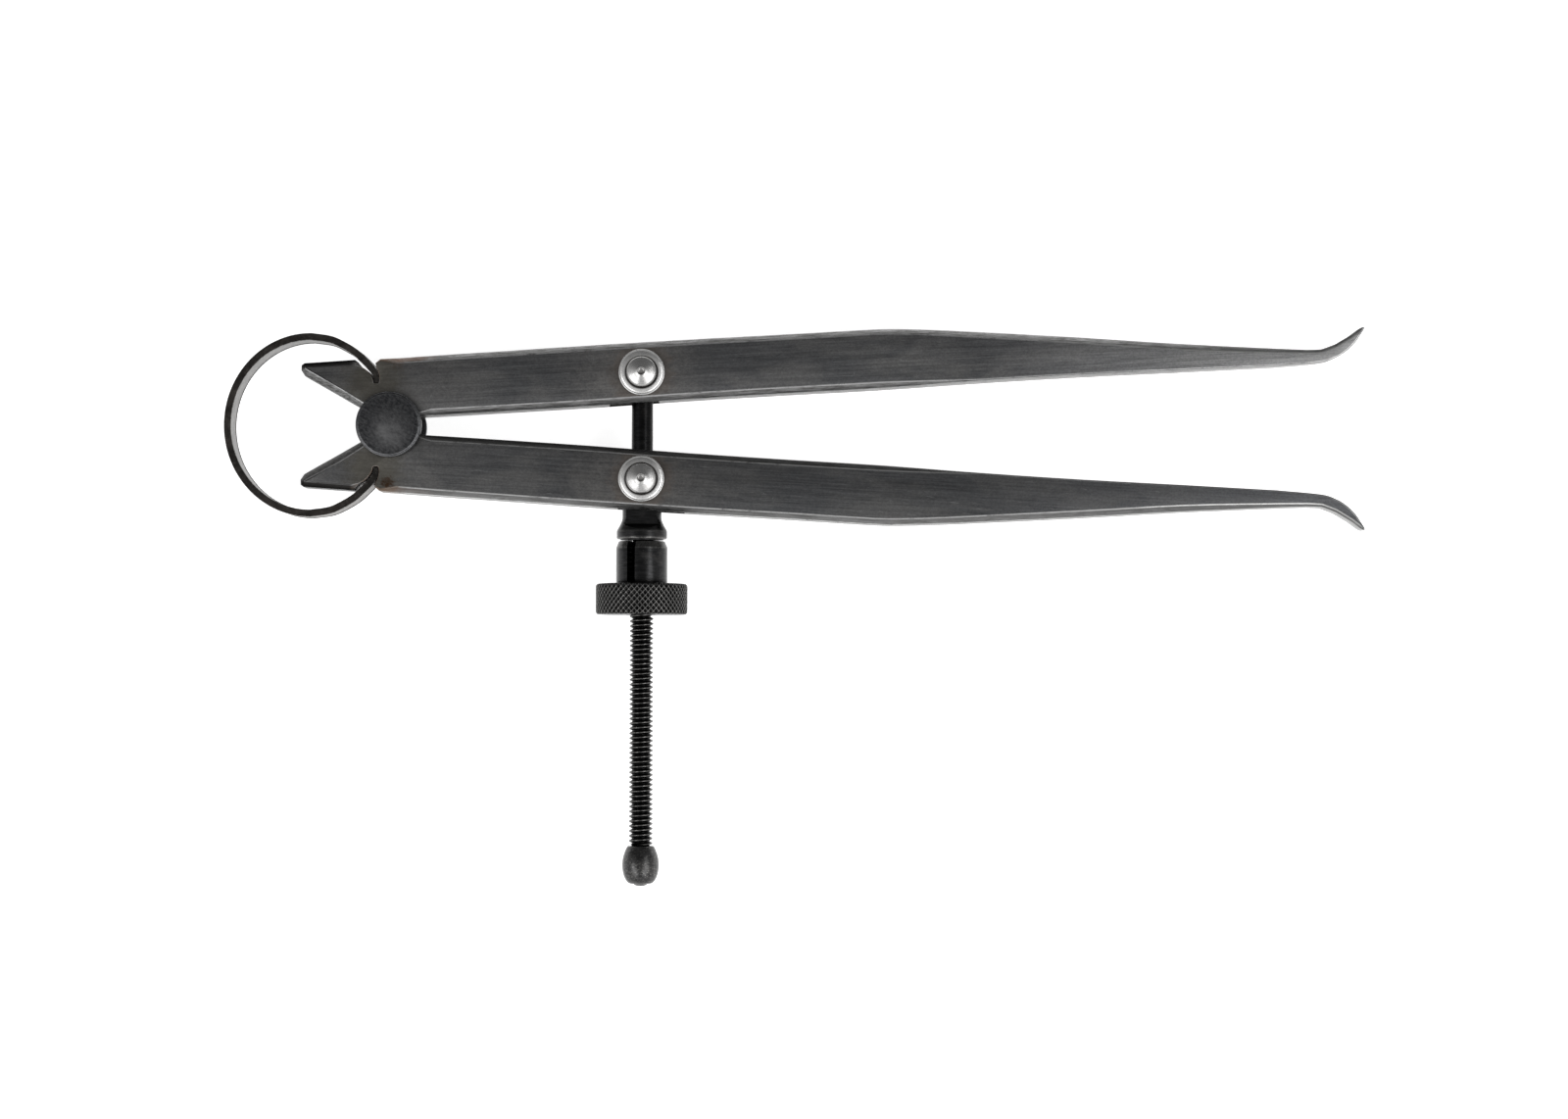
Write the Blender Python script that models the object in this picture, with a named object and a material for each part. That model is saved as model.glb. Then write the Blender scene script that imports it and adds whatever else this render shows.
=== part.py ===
"""Inside spring caliper with a bow spring and a quick-adjusting nut.

These calipers are made in several sizes from one pattern. The numbers below are the pattern's, in millimetres for a
leg of 158.8, and SIZE brings them to this caliper, the 5 inch one, whose legs are 127 mm from the fulcrum to the tip.

Frame: the origin is the centre of the fulcrum stud's rear face. +X runs from the fulcrum to the leg tips, +Y to the
upper leg, +Z out of the front faces. The adjusting screw runs along -Y, from a pin in the upper leg through a pin in
the lower leg. The rest pose has each leg about 4 degrees off the centre line.
"""

import math

import bmesh
import bpy
from mathutils import Matrix, Vector

for old in list(bpy.data.objects):
    bpy.data.objects.remove(old, do_unlink=True)

SIZE = 0.8  # this caliper's size as a share of the pattern's
MM = 0.001 * SIZE  # metres in one pattern millimetre
GAP = 0.36  # running clearance between neighbouring pieces, 0.29 mm on this size

# legs
LEG_T = 6.6  # thickness at the fulcrum
TIP_T = 3.6  # thickness at the measuring tips
TAPER_FROM = 108.0  # where the legs start to thin towards the tips
TIP_X = 158.8
CHAMFER = 0.9  # on the long edges
WIDE_CHAMFER = 1.4  # on the outer edges of the thinned part
EAR_CHAMFER = 1.1

# fulcrum stud, a spool whose heads hold both legs
STUD_R = 3.4
STUD_HEAD_R = 5.35
STUD_HEAD_T = 1.3
MID = LEG_T / 2 + GAP + STUD_HEAD_T  # height of the legs' middle plane above the rear face

# bow spring, a flat strip bent to a C whose ends hook into the legs
STRIP_T = 1.2
STRIP_W = 5.6
BOW_X = -12.9  # where the bow is widest
BOW_RX = 13.5
BOW_RY = 14.4

# swivel pins
PIN_X = 41.0
PIN_Y = 8.66
PIN_R = 2.8
SPIGOT_R = 1.9
RIVET_R = 2.55
RIVET_H = 1.15
WASHER_R = 3.75
WASHER_T = 0.8

# adjusting screw, a number 5 thread with 40 turns to the inch, rolled on a shank of the pitch diameter
PITCH = 25.4 / 40 / SIZE
MAJOR_R = 1.55 / SIZE
MINOR_R = MAJOR_R - 0.6 * PITCH
SHANK_R = 1.395 / SIZE
BORE_R = MAJOR_R + GAP
THREAD_FROM = 20.7  # measured from the upper pin's axis along the screw
THREAD_TO = 75.9
SCREW_END = 83.55
SCREW_BACK = -2.2
SIDES = 12  # flats per turn of the thread

# motion
OPEN_DEG = 27.0  # each leg's swing from rest that the slots leave room for; the joints stop at 25
CLOSE_DEG = 3.4  # each leg, from rest to nearly shut

# nut, measured from the lower pin's axis along the screw
FLANGE_R = 4.1
NECK_R = 3.18
COLLAR_R = 4.17
RING_R = 7.5
RING_FROM = 16.95
RING_TO = 22.05
JAW_FROM = 10.05
JAW_TO = 20.7
SPLIT = 1.4  # width of the saw cut between the jaws
SPLIT_TURN = math.radians(23.0)  # how far the cut is turned from the front face


def material(name, colour, roughness, metallic):
    m = bpy.data.materials.new(name)
    m.use_nodes = True
    p = m.node_tree.nodes["Principled BSDF"]
    p.inputs["Base Color"].default_value = (*colour, 1.0)
    p.inputs["Roughness"].default_value = roughness
    p.inputs["Metallic"].default_value = metallic
    m.diffuse_color = (*colour, 1.0)
    return m


def empty(name, at, parent=None):
    e = bpy.data.objects.new(name, None)
    e.empty_display_size = 5 * MM
    bpy.context.collection.objects.link(e)
    attach(e, parent)
    e.matrix_world = Matrix.Translation(Vector(at) * MM)
    bpy.context.view_layer.update()
    return e


def attach(obj, parent):
    if parent is not None:
        obj.parent = parent
        obj.matrix_parent_inverse = parent.matrix_world.inverted()


def finish(name, bm, mat, at=(0, 0, 0), turn=(0, 0, 0), parent=None, sharp=35, recalc=True):
    """Turn a bmesh in millimetres, drawn about its own origin, into a named object that stands at a place."""
    bmesh.ops.scale(bm, vec=(MM, MM, MM), verts=bm.verts)
    if recalc:
        bmesh.ops.recalc_face_normals(bm, faces=bm.faces)
    mesh = bpy.data.meshes.new(name)
    bm.to_mesh(mesh)
    bm.free()
    mesh.shade_smooth()
    mesh.set_sharp_from_angle(angle=math.radians(sharp))
    obj = bpy.data.objects.new(name, mesh)
    bpy.context.collection.objects.link(obj)
    if mat is not None:
        mesh.materials.append(mat)
    attach(obj, parent)
    where = Matrix.Translation(Vector(at) * MM)
    rot = Matrix.Rotation(turn[2], 4, "Z") @ Matrix.Rotation(turn[1], 4, "Y") @ Matrix.Rotation(turn[0], 4, "X")
    obj.matrix_world = where @ rot
    bpy.context.view_layer.update()
    return obj


def lathe(profile, steps):
    """Spin a profile of (radius, height) about Z. A profile that starts and ends on the axis is a solid of its own;
    one that returns to its first point is a ring."""
    bm = bmesh.new()
    closed = profile[0] == profile[-1]
    points = profile[:-1] if closed else profile
    verts = [bm.verts.new((r, 0, z)) for r, z in points]
    edges = [bm.edges.new((a, b)) for a, b in zip(verts, verts[1:])]
    if closed:
        edges.append(bm.edges.new((verts[-1], verts[0])))
    bmesh.ops.spin(
        bm,
        geom=verts + edges,
        cent=(0, 0, 0),
        axis=(0, 0, 1),
        angle=2 * math.pi,
        steps=steps,
        use_merge=True,
        use_duplicate=False,
    )
    bmesh.ops.remove_doubles(bm, verts=bm.verts, dist=1e-5)
    return bm


def prism(points, low, high, chamfers=None):
    """A flat plate with the given outline, anticlockwise seen from +Z. chamfers gives the chamfer's width at each
    outline point, on both faces."""
    bm = bmesh.new()
    n = len(points)
    if chamfers is None:
        base = [bm.verts.new((x, y, low)) for x, y in points]
        top = [bm.verts.new((x, y, high)) for x, y in points]
        rings = [base, top]
    else:
        inner = []
        for i, (x, y) in enumerate(points):
            here = Vector((x, y))
            d1 = (here - Vector(points[i - 1])).normalized()
            d2 = (Vector(points[(i + 1) % n]) - here).normalized()
            n1, n2 = Vector((-d1.y, d1.x)), Vector((-d2.y, d2.x))
            inner.append(here + (n1 + n2) * chamfers[i] / max(0.4, 1 + n1.dot(n2)))
        tall = [max(c, 0.2) for c in chamfers]
        rings = [
            [bm.verts.new((v.x, v.y, low)) for v in inner],
            [bm.verts.new((x, y, low + t)) for (x, y), t in zip(points, tall)],
            [bm.verts.new((x, y, high - t)) for (x, y), t in zip(points, tall)],
            [bm.verts.new((v.x, v.y, high)) for v in inner],
        ]
    bm.faces.new(list(reversed(rings[0])))
    bm.faces.new(rings[-1])
    for a, b in zip(rings, rings[1:]):
        for i in range(n):
            j = (i + 1) % n
            bm.faces.new((a[i], a[j], b[j], b[i]))
    return bm


def catmull(points, per):
    """Points along a smooth curve through the given ones."""
    ends = [
        (2 * points[0][0] - points[1][0], 2 * points[0][1] - points[1][1]),
        (2 * points[-1][0] - points[-2][0], 2 * points[-1][1] - points[-2][1]),
    ]
    p = [ends[0]] + list(points) + [ends[1]]
    out = []
    for i in range(1, len(p) - 2):
        for k in range(per):
            t = k / per
            out.append(
                tuple(
                    0.5
                    * (
                        2 * p[i][a]
                        + (p[i + 1][a] - p[i - 1][a]) * t
                        + (2 * p[i - 1][a] - 5 * p[i][a] + 4 * p[i + 1][a] - p[i + 2][a]) * t * t
                        + (3 * p[i][a] - p[i - 1][a] - 3 * p[i + 1][a] + p[i + 2][a]) * t**3
                    )
                    for a in (0, 1)
                )
            )
    return out + [points[-1]]


def cutter(name, bm, at=(0, 0, 0), turn=(0, 0, 0), parent=None):
    obj = finish(name, bm, None, at, turn, parent)
    obj.hide_render = True
    obj.display_type = "WIRE"
    return obj


def cut(obj, tool, how="DIFFERENCE"):
    m = obj.modifiers.new(tool.name, "BOOLEAN")
    m.operation = how
    m.solver = "EXACT"
    m.object = tool


def box(sx, sy, sz, centre=(0, 0, 0)):
    bm = bmesh.new()
    bmesh.ops.create_cube(bm, size=1.0)
    bmesh.ops.scale(bm, vec=(sx, sy, sz), verts=bm.verts)
    bmesh.ops.translate(bm, vec=centre, verts=bm.verts)
    return bm


STEEL_DARK = material("gunmetal_steel", (0.085, 0.088, 0.094), 0.42, 0.9)
STEEL_SPRING = material("blackened_spring_steel", (0.035, 0.032, 0.030), 0.38, 0.9)
STEEL_STUD = material("blued_stud", (0.055, 0.058, 0.068), 0.40, 0.9)
STEEL_BLACK = material("black_oxide", (0.020, 0.020, 0.021), 0.40, 0.85)
STEEL_KNOB = material("dark_knob", (0.040, 0.040, 0.042), 0.45, 0.85)
STEEL_BRIGHT = material("bright_turned_steel", (0.62, 0.62, 0.62), 0.25, 1.0)

# ---------------------------------------------------------------- fulcrum

fulcrum = empty("fulcrum_axis", (0, 0, MID))

h = LEG_T / 2 + GAP
stud_profile = [
    (0, -h - STUD_HEAD_T),
    (STUD_HEAD_R - 0.45, -h - STUD_HEAD_T),
    (STUD_HEAD_R, -h - STUD_HEAD_T + 0.45),
    (STUD_HEAD_R, -h),
    (STUD_R, -h),
    (STUD_R, h),
    (STUD_HEAD_R, h),
    (STUD_HEAD_R, h + STUD_HEAD_T - 0.45),
    (STUD_HEAD_R - 0.35, h + STUD_HEAD_T - 0.12),
    (STUD_HEAD_R - 0.9, h + STUD_HEAD_T),
    (STUD_HEAD_R * 0.5, h + STUD_HEAD_T + 0.12),
    (0, h + STUD_HEAD_T + 0.16),
]
finish("fulcrum_stud", lathe(stud_profile, 40), STEEL_STUD, at=(0, 0, MID), parent=fulcrum)

# ---------------------------------------------------------------- bow spring


def bow_line():
    """The strip's middle line from the widest point to the hooked end, upper half."""
    crown = [
        (BOW_X - BOW_RX * math.sin(a), BOW_RY * math.cos(a))
        for a in [math.radians(90 - 6 * k) for k in range(15)]
    ]
    hook = [
        (BOW_X, BOW_RY),
        (-9.8, 13.95),
        (-7.7, 13.05),
        (-5.65, 11.8),
        (-4.1, 10.4),
        (-3.1, 9.35),
        (-2.45, 8.4),
        (-2.2, 7.6),
        (-2.2, 6.9),
    ]
    return crown + catmull(hook, 3)


def offset_line(line, widths, side):
    out = []
    for i, (x, y) in enumerate(line):
        a = Vector(line[max(0, i - 1)])
        b = Vector(line[min(len(line) - 1, i + 1)])
        d = (b - a).normalized()
        n = Vector((-d.y, d.x)) * side * widths[i] / 2
        out.append((x + n.x, y + n.y))
    return out


half = bow_line()
line = [(x, -y) for x, y in reversed(half)] + half[1:]
count = len(line)
widths = []
for x, y in line:
    near_end = max(0.0, min(1.0, (9.6 - abs(y)) / 2.7)) if x > -5 else 0.0
    widths.append(STRIP_T - 0.5 * near_end)
outer = offset_line(line, widths, 1)
inner = offset_line(line, widths, -1)
strip = list(reversed(outer)) + inner
finish(
    "bow_spring",
    prism(strip, -STRIP_W / 2, STRIP_W / 2, [0.16] * len(strip)),
    STEEL_SPRING,
    at=(0, 0, MID),
    parent=fulcrum,
)

# ---------------------------------------------------------------- legs

OUTER_EDGE = [  # stations along the outer edge, x and distance from the centre line
    (-1.6, 10.75),
    (6.8, 11.4),
    (16.4, 12.05),
    (32.4, 13.14),
    (48.4, 14.14),
    (64.4, 15.05),
    (76.0, 15.75),
    (81.2, 15.98),
    (88.0, 15.86),
    (96.4, 15.5),
    (112.4, 14.69),
    (128.4, 13.75),
    (144.4, 13.02),
    (149.4, 12.85),
    (151.8, 12.95),
    (154.0, 13.76),
    (156.4, 15.2),
    (158.0, 16.38),
]
INNER_EDGE = [
    (158.4, 15.7),
    (157.2, 13.92),
    (155.6, 12.43),
    (154.0, 11.52),
    (151.6, 10.8),
    (144.4, 10.16),
    (128.4, 9.33),
    (112.4, 8.54),
    (96.4, 7.54),
    (80.4, 6.31),
    (64.4, 5.38),
    (48.4, 4.37),
    (32.4, 3.22),
    (16.4, 2.21),
    (6.8, 1.64),
]
recess_r = STUD_R + GAP
RECESS = [
    (recess_r * math.cos(math.radians(a)), recess_r * math.sin(math.radians(a)))
    for a in [24 + 14 * k for k in range(10)]
]
EAR = [
    (-13.9, 7.95),
    (-14.5, 8.9),
    (-14.45, 9.75),
    (-14.0, 10.1),
    (-5.75, 10.66),
]
# the slot for the spring's hooked end, a clearance away from the strip all round
NOTCH = [
    (-4.85, 9.45),
    (-3.85, 8.5),
    (-3.2, 7.6),
    (-2.95, 6.5),
    (-2.2, 6.2),
    (-1.45, 6.5),
    (-1.35, 7.7),
    (-1.6, 8.7),
    (-2.35, 10.05),
]


def leg_outline():
    return OUTER_EDGE + [(TIP_X, 16.75)] + INNER_EDGE + RECESS + EAR + NOTCH


def thickness_share(x):
    t = max(0.0, min(1.0, (x - TAPER_FROM) / (TIP_X - TAPER_FROM)))
    return 1.0 - (1.0 - TIP_T / LEG_T) * t**1.2


def blend_up(x, start, end):
    t = max(0.0, min(1.0, (x - start) / (end - start)))
    return t * t * (3 - 2 * t)


def chamfer_at(x, y):
    """The width of the leg's chamfer at a point of its outline, for the upper leg."""
    if math.hypot(x, y) < 4.5 or -5.0 < x < -1.4 and y < 10.2:
        return 0.0  # the stud's recess and the spring's slot stay square
    if (x, y) == EAR[-1] or (x, y) == OUTER_EDGE[0]:
        return 0.3
    if x < -13.8 and y < 8.5:
        return EAR_CHAMFER
    if x < -5.0:
        return 0.5
    if (x, y) in INNER_EDGE:
        return 0.2 + (CHAMFER - 0.2) * (1 - blend_up(x, 78, 98))
    wide = CHAMFER + (WIDE_CHAMFER - CHAMFER) * blend_up(x, 78, 104)
    return wide - (WIDE_CHAMFER - 0.45) * blend_up(x, 122, 158)


def leg_plate(side):
    points = leg_outline()
    widths = [chamfer_at(x, y) for x, y in points]
    if side > 0:
        points, widths = points[::-1], widths[::-1]
    else:
        points = [(x, -y) for x, y in points]
    bm = prism(points, -LEG_T / 2, LEG_T / 2, widths)
    for v in bm.verts:
        v.co.z *= thickness_share(v.co.x)
    return bm


def screw_path(side, along, half_width):
    """The outline that a bar swings over between shut and wide open, seen from the leg, away from the pin.
    along is +1 for the part between the legs and -1 for the part beyond the leg."""
    centre = Vector((PIN_X, side * PIN_Y))

    def way(deg):
        a = math.radians(deg)
        return Vector((-math.sin(a) * along, -side * math.cos(a) * along))

    shut, wide = way(-CLOSE_DEG - 1.0), way(OPEN_DEG + 1.0)
    out_shut = Vector((shut.y, -shut.x))
    if out_shut.dot(wide) > 0:
        out_shut = -out_shut
    out_wide = Vector((wide.y, -wide.x))
    if out_wide.dot(shut) > 0:
        out_wide = -out_wide
    reach, back = 9.0, 2.0
    return [
        tuple(centre + out_shut * half_width - shut * back),
        tuple(centre + out_shut * half_width + shut * reach),
        tuple(centre + out_wide * half_width + wide * reach),
        tuple(centre + out_wide * half_width - wide * back),
    ]


SLOT_H = 4.7  # height of the screw slot in the middle of each leg's thickness

upper_empty = empty("upper_leg_axis", (0, 0, MID), fulcrum)
lower_empty = empty("lower_leg_axis", (0, 0, MID), fulcrum)

legs = {}
for side, name, parent in ((1, "upper_leg", upper_empty), (-1, "lower_leg", lower_empty)):
    leg = finish(name, leg_plate(side), STEEL_DARK, at=(0, 0, MID), parent=parent, sharp=20)
    legs[side] = leg
    hole = lathe([(0, -8), (PIN_R + GAP, -8), (PIN_R + GAP, 8), (0, 8)], 40)
    cut(leg, cutter(f"cut_{name}_pin_hole", hole, (PIN_X, side * PIN_Y, MID), parent=parent))
    inside = prism(screw_path(side, 1, BORE_R + 0.1), -SLOT_H / 2, SLOT_H / 2)
    cut(leg, cutter(f"cut_{name}_inner_slot", inside, (0, 0, MID), parent=parent))
beyond = prism(screw_path(-1, -1, NECK_R + GAP + 0.03), -SLOT_H / 2, SLOT_H / 2)
cut(legs[-1], cutter("cut_lower_leg_outer_slot", beyond, (0, 0, MID), parent=lower_empty))

# ---------------------------------------------------------------- swivel pins and their washers

top = LEG_T / 2
under = top + GAP + WASHER_T + GAP  # underside of the riveted head


def pin_profile():
    dome = [
        (RIVET_R * math.cos(a), under + 0.25 + (RIVET_H - 0.25) * math.sin(a))
        for a in [math.radians(22 * k) for k in range(4)]
    ]
    upper = [(PIN_R, top), (SPIGOT_R, top), (SPIGOT_R, under), (RIVET_R, under)] + dome + [(0, under + RIVET_H)]
    lower = [(r, -z) for r, z in reversed(upper)]
    return lower + upper


ALONG_SCREW = (math.radians(90), 0, 0)  # the piece's own +Z points along -Y

screw_empty = empty("screw_swivel_axis", (PIN_X, PIN_Y, MID), upper_empty)
nut_empty = empty("nut_swivel_axis", (PIN_X, -PIN_Y, MID), lower_empty)

for side, name, parent in ((1, "screw_anchor_pin", screw_empty), (-1, "nut_swivel_pin", nut_empty)):
    at = (PIN_X, side * PIN_Y, MID)
    pin = finish(name, lathe(pin_profile(), 28), STEEL_BRIGHT, at=at, parent=parent)
    bore = lathe([(0, -6), (BORE_R, -6), (BORE_R, 6), (0, 6)], 28)
    cut(pin, cutter(f"cut_{name}_bore", bore, at, ALONG_SCREW, parent))
    which = "upper" if side > 0 else "lower"
    for face, z in (("front", top + GAP), ("rear", -top - GAP - WASHER_T)):
        ring = [
            (SPIGOT_R + GAP, 0),
            (WASHER_R, 0),
            (WASHER_R, WASHER_T * 0.6),
            (WASHER_R - 0.25, WASHER_T),
            (SPIGOT_R + GAP, WASHER_T),
            (SPIGOT_R + GAP, 0),
        ]
        if face == "rear":
            ring = [(r, WASHER_T - z0) for r, z0 in ring]
        finish(f"pin_washer_{which}_{face}", lathe(ring, 28), STEEL_BRIGHT, at=(at[0], at[1], MID + z), parent=parent)

# ---------------------------------------------------------------- adjusting screw


def threaded_screw():
    """A plain shank, a helical thread and a thinner end for the knob, in one skin, about its own Z."""
    bm = bmesh.new()

    def circle(r, z):
        return [
            bm.verts.new((r * math.cos(2 * math.pi * k / SIDES), r * math.sin(2 * math.pi * k / SIDES), z))
            for k in range(SIDES)
        ]

    def join(a, b):
        for k in range(SIDES):
            j = (k + 1) % SIDES
            bm.faces.new((a[k], a[j], b[j], b[k]))

    head = bm.verts.new((0, 0, SCREW_BACK))
    rings = [circle(SHANK_R - 0.3, SCREW_BACK), circle(SHANK_R, SCREW_BACK + 0.3), circle(SHANK_R, THREAD_FROM - 1.1)]
    rings.append(circle(MINOR_R, THREAD_FROM - 0.65))
    for k in range(SIDES):
        bm.faces.new((rings[0][(k + 1) % SIDES], rings[0][k], head))
    for a, b in zip(rings, rings[1:]):
        join(a, b)

    turns = int((THREAD_TO - THREAD_FROM) / PITCH)
    total = turns * SIDES
    crest = 0.125 * PITCH
    flank = (PITCH - 2 * crest) / 2 - 0.03
    rows = []
    for i in range(total + 1):
        a = 2 * math.pi * (i % SIDES) / SIDES
        z = THREAD_FROM + PITCH * i / SIDES
        rise = min(1.0, i / SIDES, (total - i) / SIDES)
        r = MINOR_R + (MAJOR_R - MINOR_R) * rise
        c, s = math.cos(a), math.sin(a)
        rows.append(
            [
                bm.verts.new((MINOR_R * c, MINOR_R * s, z)),
                bm.verts.new((r * c, r * s, z + flank)),
                bm.verts.new((r * c, r * s, z + flank + crest)),
            ]
        )
    last = []
    for i in range(total, total + SIDES + 1):
        a = 2 * math.pi * (i % SIDES) / SIDES
        z = THREAD_FROM + PITCH * i / SIDES
        if i > total:
            last.append(bm.verts.new((MINOR_R * math.cos(a), MINOR_R * math.sin(a), z)))
    root = [row[0] for row in rows] + last
    for i in range(total):
        a, b = rows[i], rows[i + 1]
        nexta, nextb = root[i + SIDES], root[i + SIDES + 1]
        bm.faces.new((a[0], b[0], b[1], a[1]))
        bm.faces.new((a[1], b[1], b[2], a[2]))
        bm.faces.new((a[2], b[2], nextb, nexta))
    start = rings[-1]
    for k in range(SIDES):
        j = (k + 1) % SIDES
        bm.faces.new((start[k], start[j], root[k + 1], root[k]))
    for a, b in ((rows[0][0], rows[0][1]), (rows[0][1], rows[0][2]), (rows[0][2], root[SIDES])):
        bm.faces.new((start[0], a, b))
    # the far end: the last turn's upper edge is closed to a ring above it
    end_z = THREAD_FROM + PITCH * (turns + 1) + 0.3
    end = circle(MINOR_R, end_z)
    base = total
    for k in range(SIDES):
        j = (k + 1) % SIDES
        bm.faces.new((root[base + k], root[base + k + 1], end[j], end[k]))
    chain = [root[base + SIDES], rows[-1][2], rows[-1][1], rows[-1][0]]
    for a, b in zip(chain, chain[1:]):
        bm.faces.new((end[0], a, b))
    knob_r = 1.2
    tail = [circle(knob_r, end_z + 0.12), circle(knob_r, SCREW_END - 0.55), circle(knob_r - 0.35, SCREW_END - 0.15)]
    join(end, tail[0])
    for a, b in zip(tail, tail[1:]):
        join(a, b)
    tip = bm.verts.new((0, 0, SCREW_END))
    for k in range(SIDES):
        bm.faces.new((tail[-1][k], tail[-1][(k + 1) % SIDES], tip))
    return bm


screw_at = (PIN_X, PIN_Y, MID)
finish("adjusting_screw", threaded_screw(), STEEL_BLACK, at=screw_at, turn=ALONG_SCREW, parent=screw_empty, sharp=50)

KNOB_FROM, KNOB_TO, KNOB_R = 77.0, 83.1, 2.97
KNOB_BORE = 1.2 + GAP
knob = [(KNOB_BORE, KNOB_FROM), (2.1, KNOB_FROM)]
knob += [
    (2.1 + (KNOB_R - 2.1) * math.sin(math.pi * t) ** 0.85, KNOB_FROM + (KNOB_TO - KNOB_FROM) * t)
    for t in [k / 9 for k in range(1, 9)]
]
knob += [(1.9, KNOB_TO), (KNOB_BORE, KNOB_TO), (KNOB_BORE, KNOB_FROM)]
finish("screw_end_knob", lathe(knob, 28), STEEL_KNOB, at=screw_at, turn=ALONG_SCREW, parent=screw_empty)

# ---------------------------------------------------------------- cone washer, between the lower pin and the nut

nut_at = (PIN_X, -PIN_Y, MID)
WASHER_END = JAW_FROM - GAP
washer = [
    (BORE_R, 0.6),
    (NECK_R, 0.6),
    (NECK_R, 6.45),
    (3.3, 6.85),
    (3.5, 7.3),
    (3.85, 7.95),
    (FLANGE_R, 8.4),
    (FLANGE_R, WASHER_END - 0.22),
    (FLANGE_R - 0.2, WASHER_END),
    (BORE_R, WASHER_END),
    (BORE_R, 0.6),
]
cone = finish("cone_washer", lathe(washer, 32), STEEL_BLACK, at=nut_at, turn=ALONG_SCREW, parent=nut_empty)
flat_h = SLOT_H / 2 - GAP
for face in (1, -1):
    flat = box(12, 6, 10.4, (0, face * (flat_h + 3), 2.6))
    cut(cone, cutter(f"cut_neck_flat_{'front' if face > 0 else 'rear'}", flat, nut_at, ALONG_SCREW, nut_empty))
seat = lathe([(0, -8), (PIN_R + GAP, -8), (PIN_R + GAP, 8), (0, 8)], 40)
cut(cone, cutter("cut_pin_seat", seat, nut_at, (0, 0, 0), nut_empty))

# ---------------------------------------------------------------- quick-adjusting nut

spin_empty = empty("nut_spin_axis", nut_at, nut_empty)
ring = [
    (COLLAR_R + 0.33, RING_FROM),
    (RING_R - 0.55, RING_FROM),
    (RING_R - 0.12, RING_FROM + 0.35),
    (RING_R, RING_FROM + 0.8),
    (RING_R, RING_TO - 0.8),
    (RING_R - 0.12, RING_TO - 0.35),
    (RING_R - 0.55, RING_TO),
    (BORE_R + 0.15, RING_TO),
    (BORE_R + 0.15, JAW_TO + GAP),
    (COLLAR_R + 0.33, JAW_TO + GAP),
    (COLLAR_R + 0.33, RING_FROM),
]
finish("knurled_nut_ring", lathe(ring, 48), STEEL_BLACK, at=nut_at, turn=ALONG_SCREW, parent=spin_empty)

# each jaw is half a collar; it rocks on its rear edge inside the ring
GROOVE = (17.6, 18.8)  # where the expanding wire ring sits inside the jaws
GROOVE_R = 3.35
ROCK_Z = JAW_TO - 0.3
ROCK_R = 3.4
across = Vector((math.cos(SPLIT_TURN), math.sin(SPLIT_TURN), 0))
for sign, name in ((1, "nut_jaw_a"), (-1, "nut_jaw_b")):
    shell = [
        (BORE_R, JAW_FROM),
        (3.75, JAW_FROM),
        (COLLAR_R, JAW_FROM + 0.95),
        (COLLAR_R, JAW_TO),
        (BORE_R, JAW_TO),
        (BORE_R, GROOVE[1]),
        (GROOVE_R, GROOVE[1]),
        (GROOVE_R, GROOVE[0]),
        (BORE_R, GROOVE[0]),
        (BORE_R, JAW_FROM),
    ]
    rock = across * sign * ROCK_R + Vector((0, 0, ROCK_Z))
    bm = lathe(shell, 32)
    bmesh.ops.translate(bm, vec=-rock, verts=bm.verts)
    # the piece's own x, y and z lie along world x, z and -y
    world = Vector((nut_at[0] + rock.x, nut_at[1] - rock.z, nut_at[2] + rock.y))
    pivot = empty(f"{name}_axis", world, spin_empty)
    jaw = finish(name, bm, STEEL_BLACK, at=world, turn=ALONG_SCREW, parent=pivot)
    block = box(12, 14, 20, (0, 0, 0))
    bmesh.ops.translate(block, vec=(-sign * (6 - SPLIT / 2), 0, (JAW_FROM + JAW_TO) / 2), verts=block.verts)
    bmesh.ops.rotate(block, cent=(0, 0, 0), matrix=Matrix.Rotation(SPLIT_TURN, 3, "Z"), verts=block.verts)
    bmesh.ops.translate(block, vec=-rock, verts=block.verts)
    cut(jaw, cutter(f"cut_{name}_split", block, world, ALONG_SCREW, pivot))

# the expanding ring: an open loop of wire in the jaws' groove
WIRE_R = 0.24
LOOP_R = 2.75
OPEN_LOOP = math.radians(50)


def wire_loop():
    bm = bmesh.new()
    first = []
    for k in range(6):
        a = 2 * math.pi * k / 6
        first.append(bm.verts.new((LOOP_R + WIRE_R * math.cos(a), 0, WIRE_R * math.sin(a))))
    face = bm.faces.new(first)
    bmesh.ops.rotate(bm, cent=(0, 0, 0), matrix=Matrix.Rotation(OPEN_LOOP / 2, 3, "Z"), verts=first)
    spun = bmesh.ops.spin(
        bm,
        geom=[face],
        cent=(0, 0, 0),
        axis=(0, 0, 1),
        angle=2 * math.pi - OPEN_LOOP,
        steps=20,
        use_duplicate=False,
    )
    return bm


loop = wire_loop()
bmesh.ops.rotate(loop, cent=(0, 0, 0), matrix=Matrix.Rotation(SPLIT_TURN + math.pi / 2, 3, "Z"), verts=loop.verts)
bmesh.ops.translate(loop, vec=(0, 0, (GROOVE[0] + GROOVE[1]) / 2), verts=loop.verts)
finish("nut_jaw_spring", loop, STEEL_BRIGHT, at=nut_at, turn=ALONG_SCREW, parent=spin_empty)
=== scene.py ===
import math

import bmesh
import bpy
from mathutils import Matrix, Vector


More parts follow.
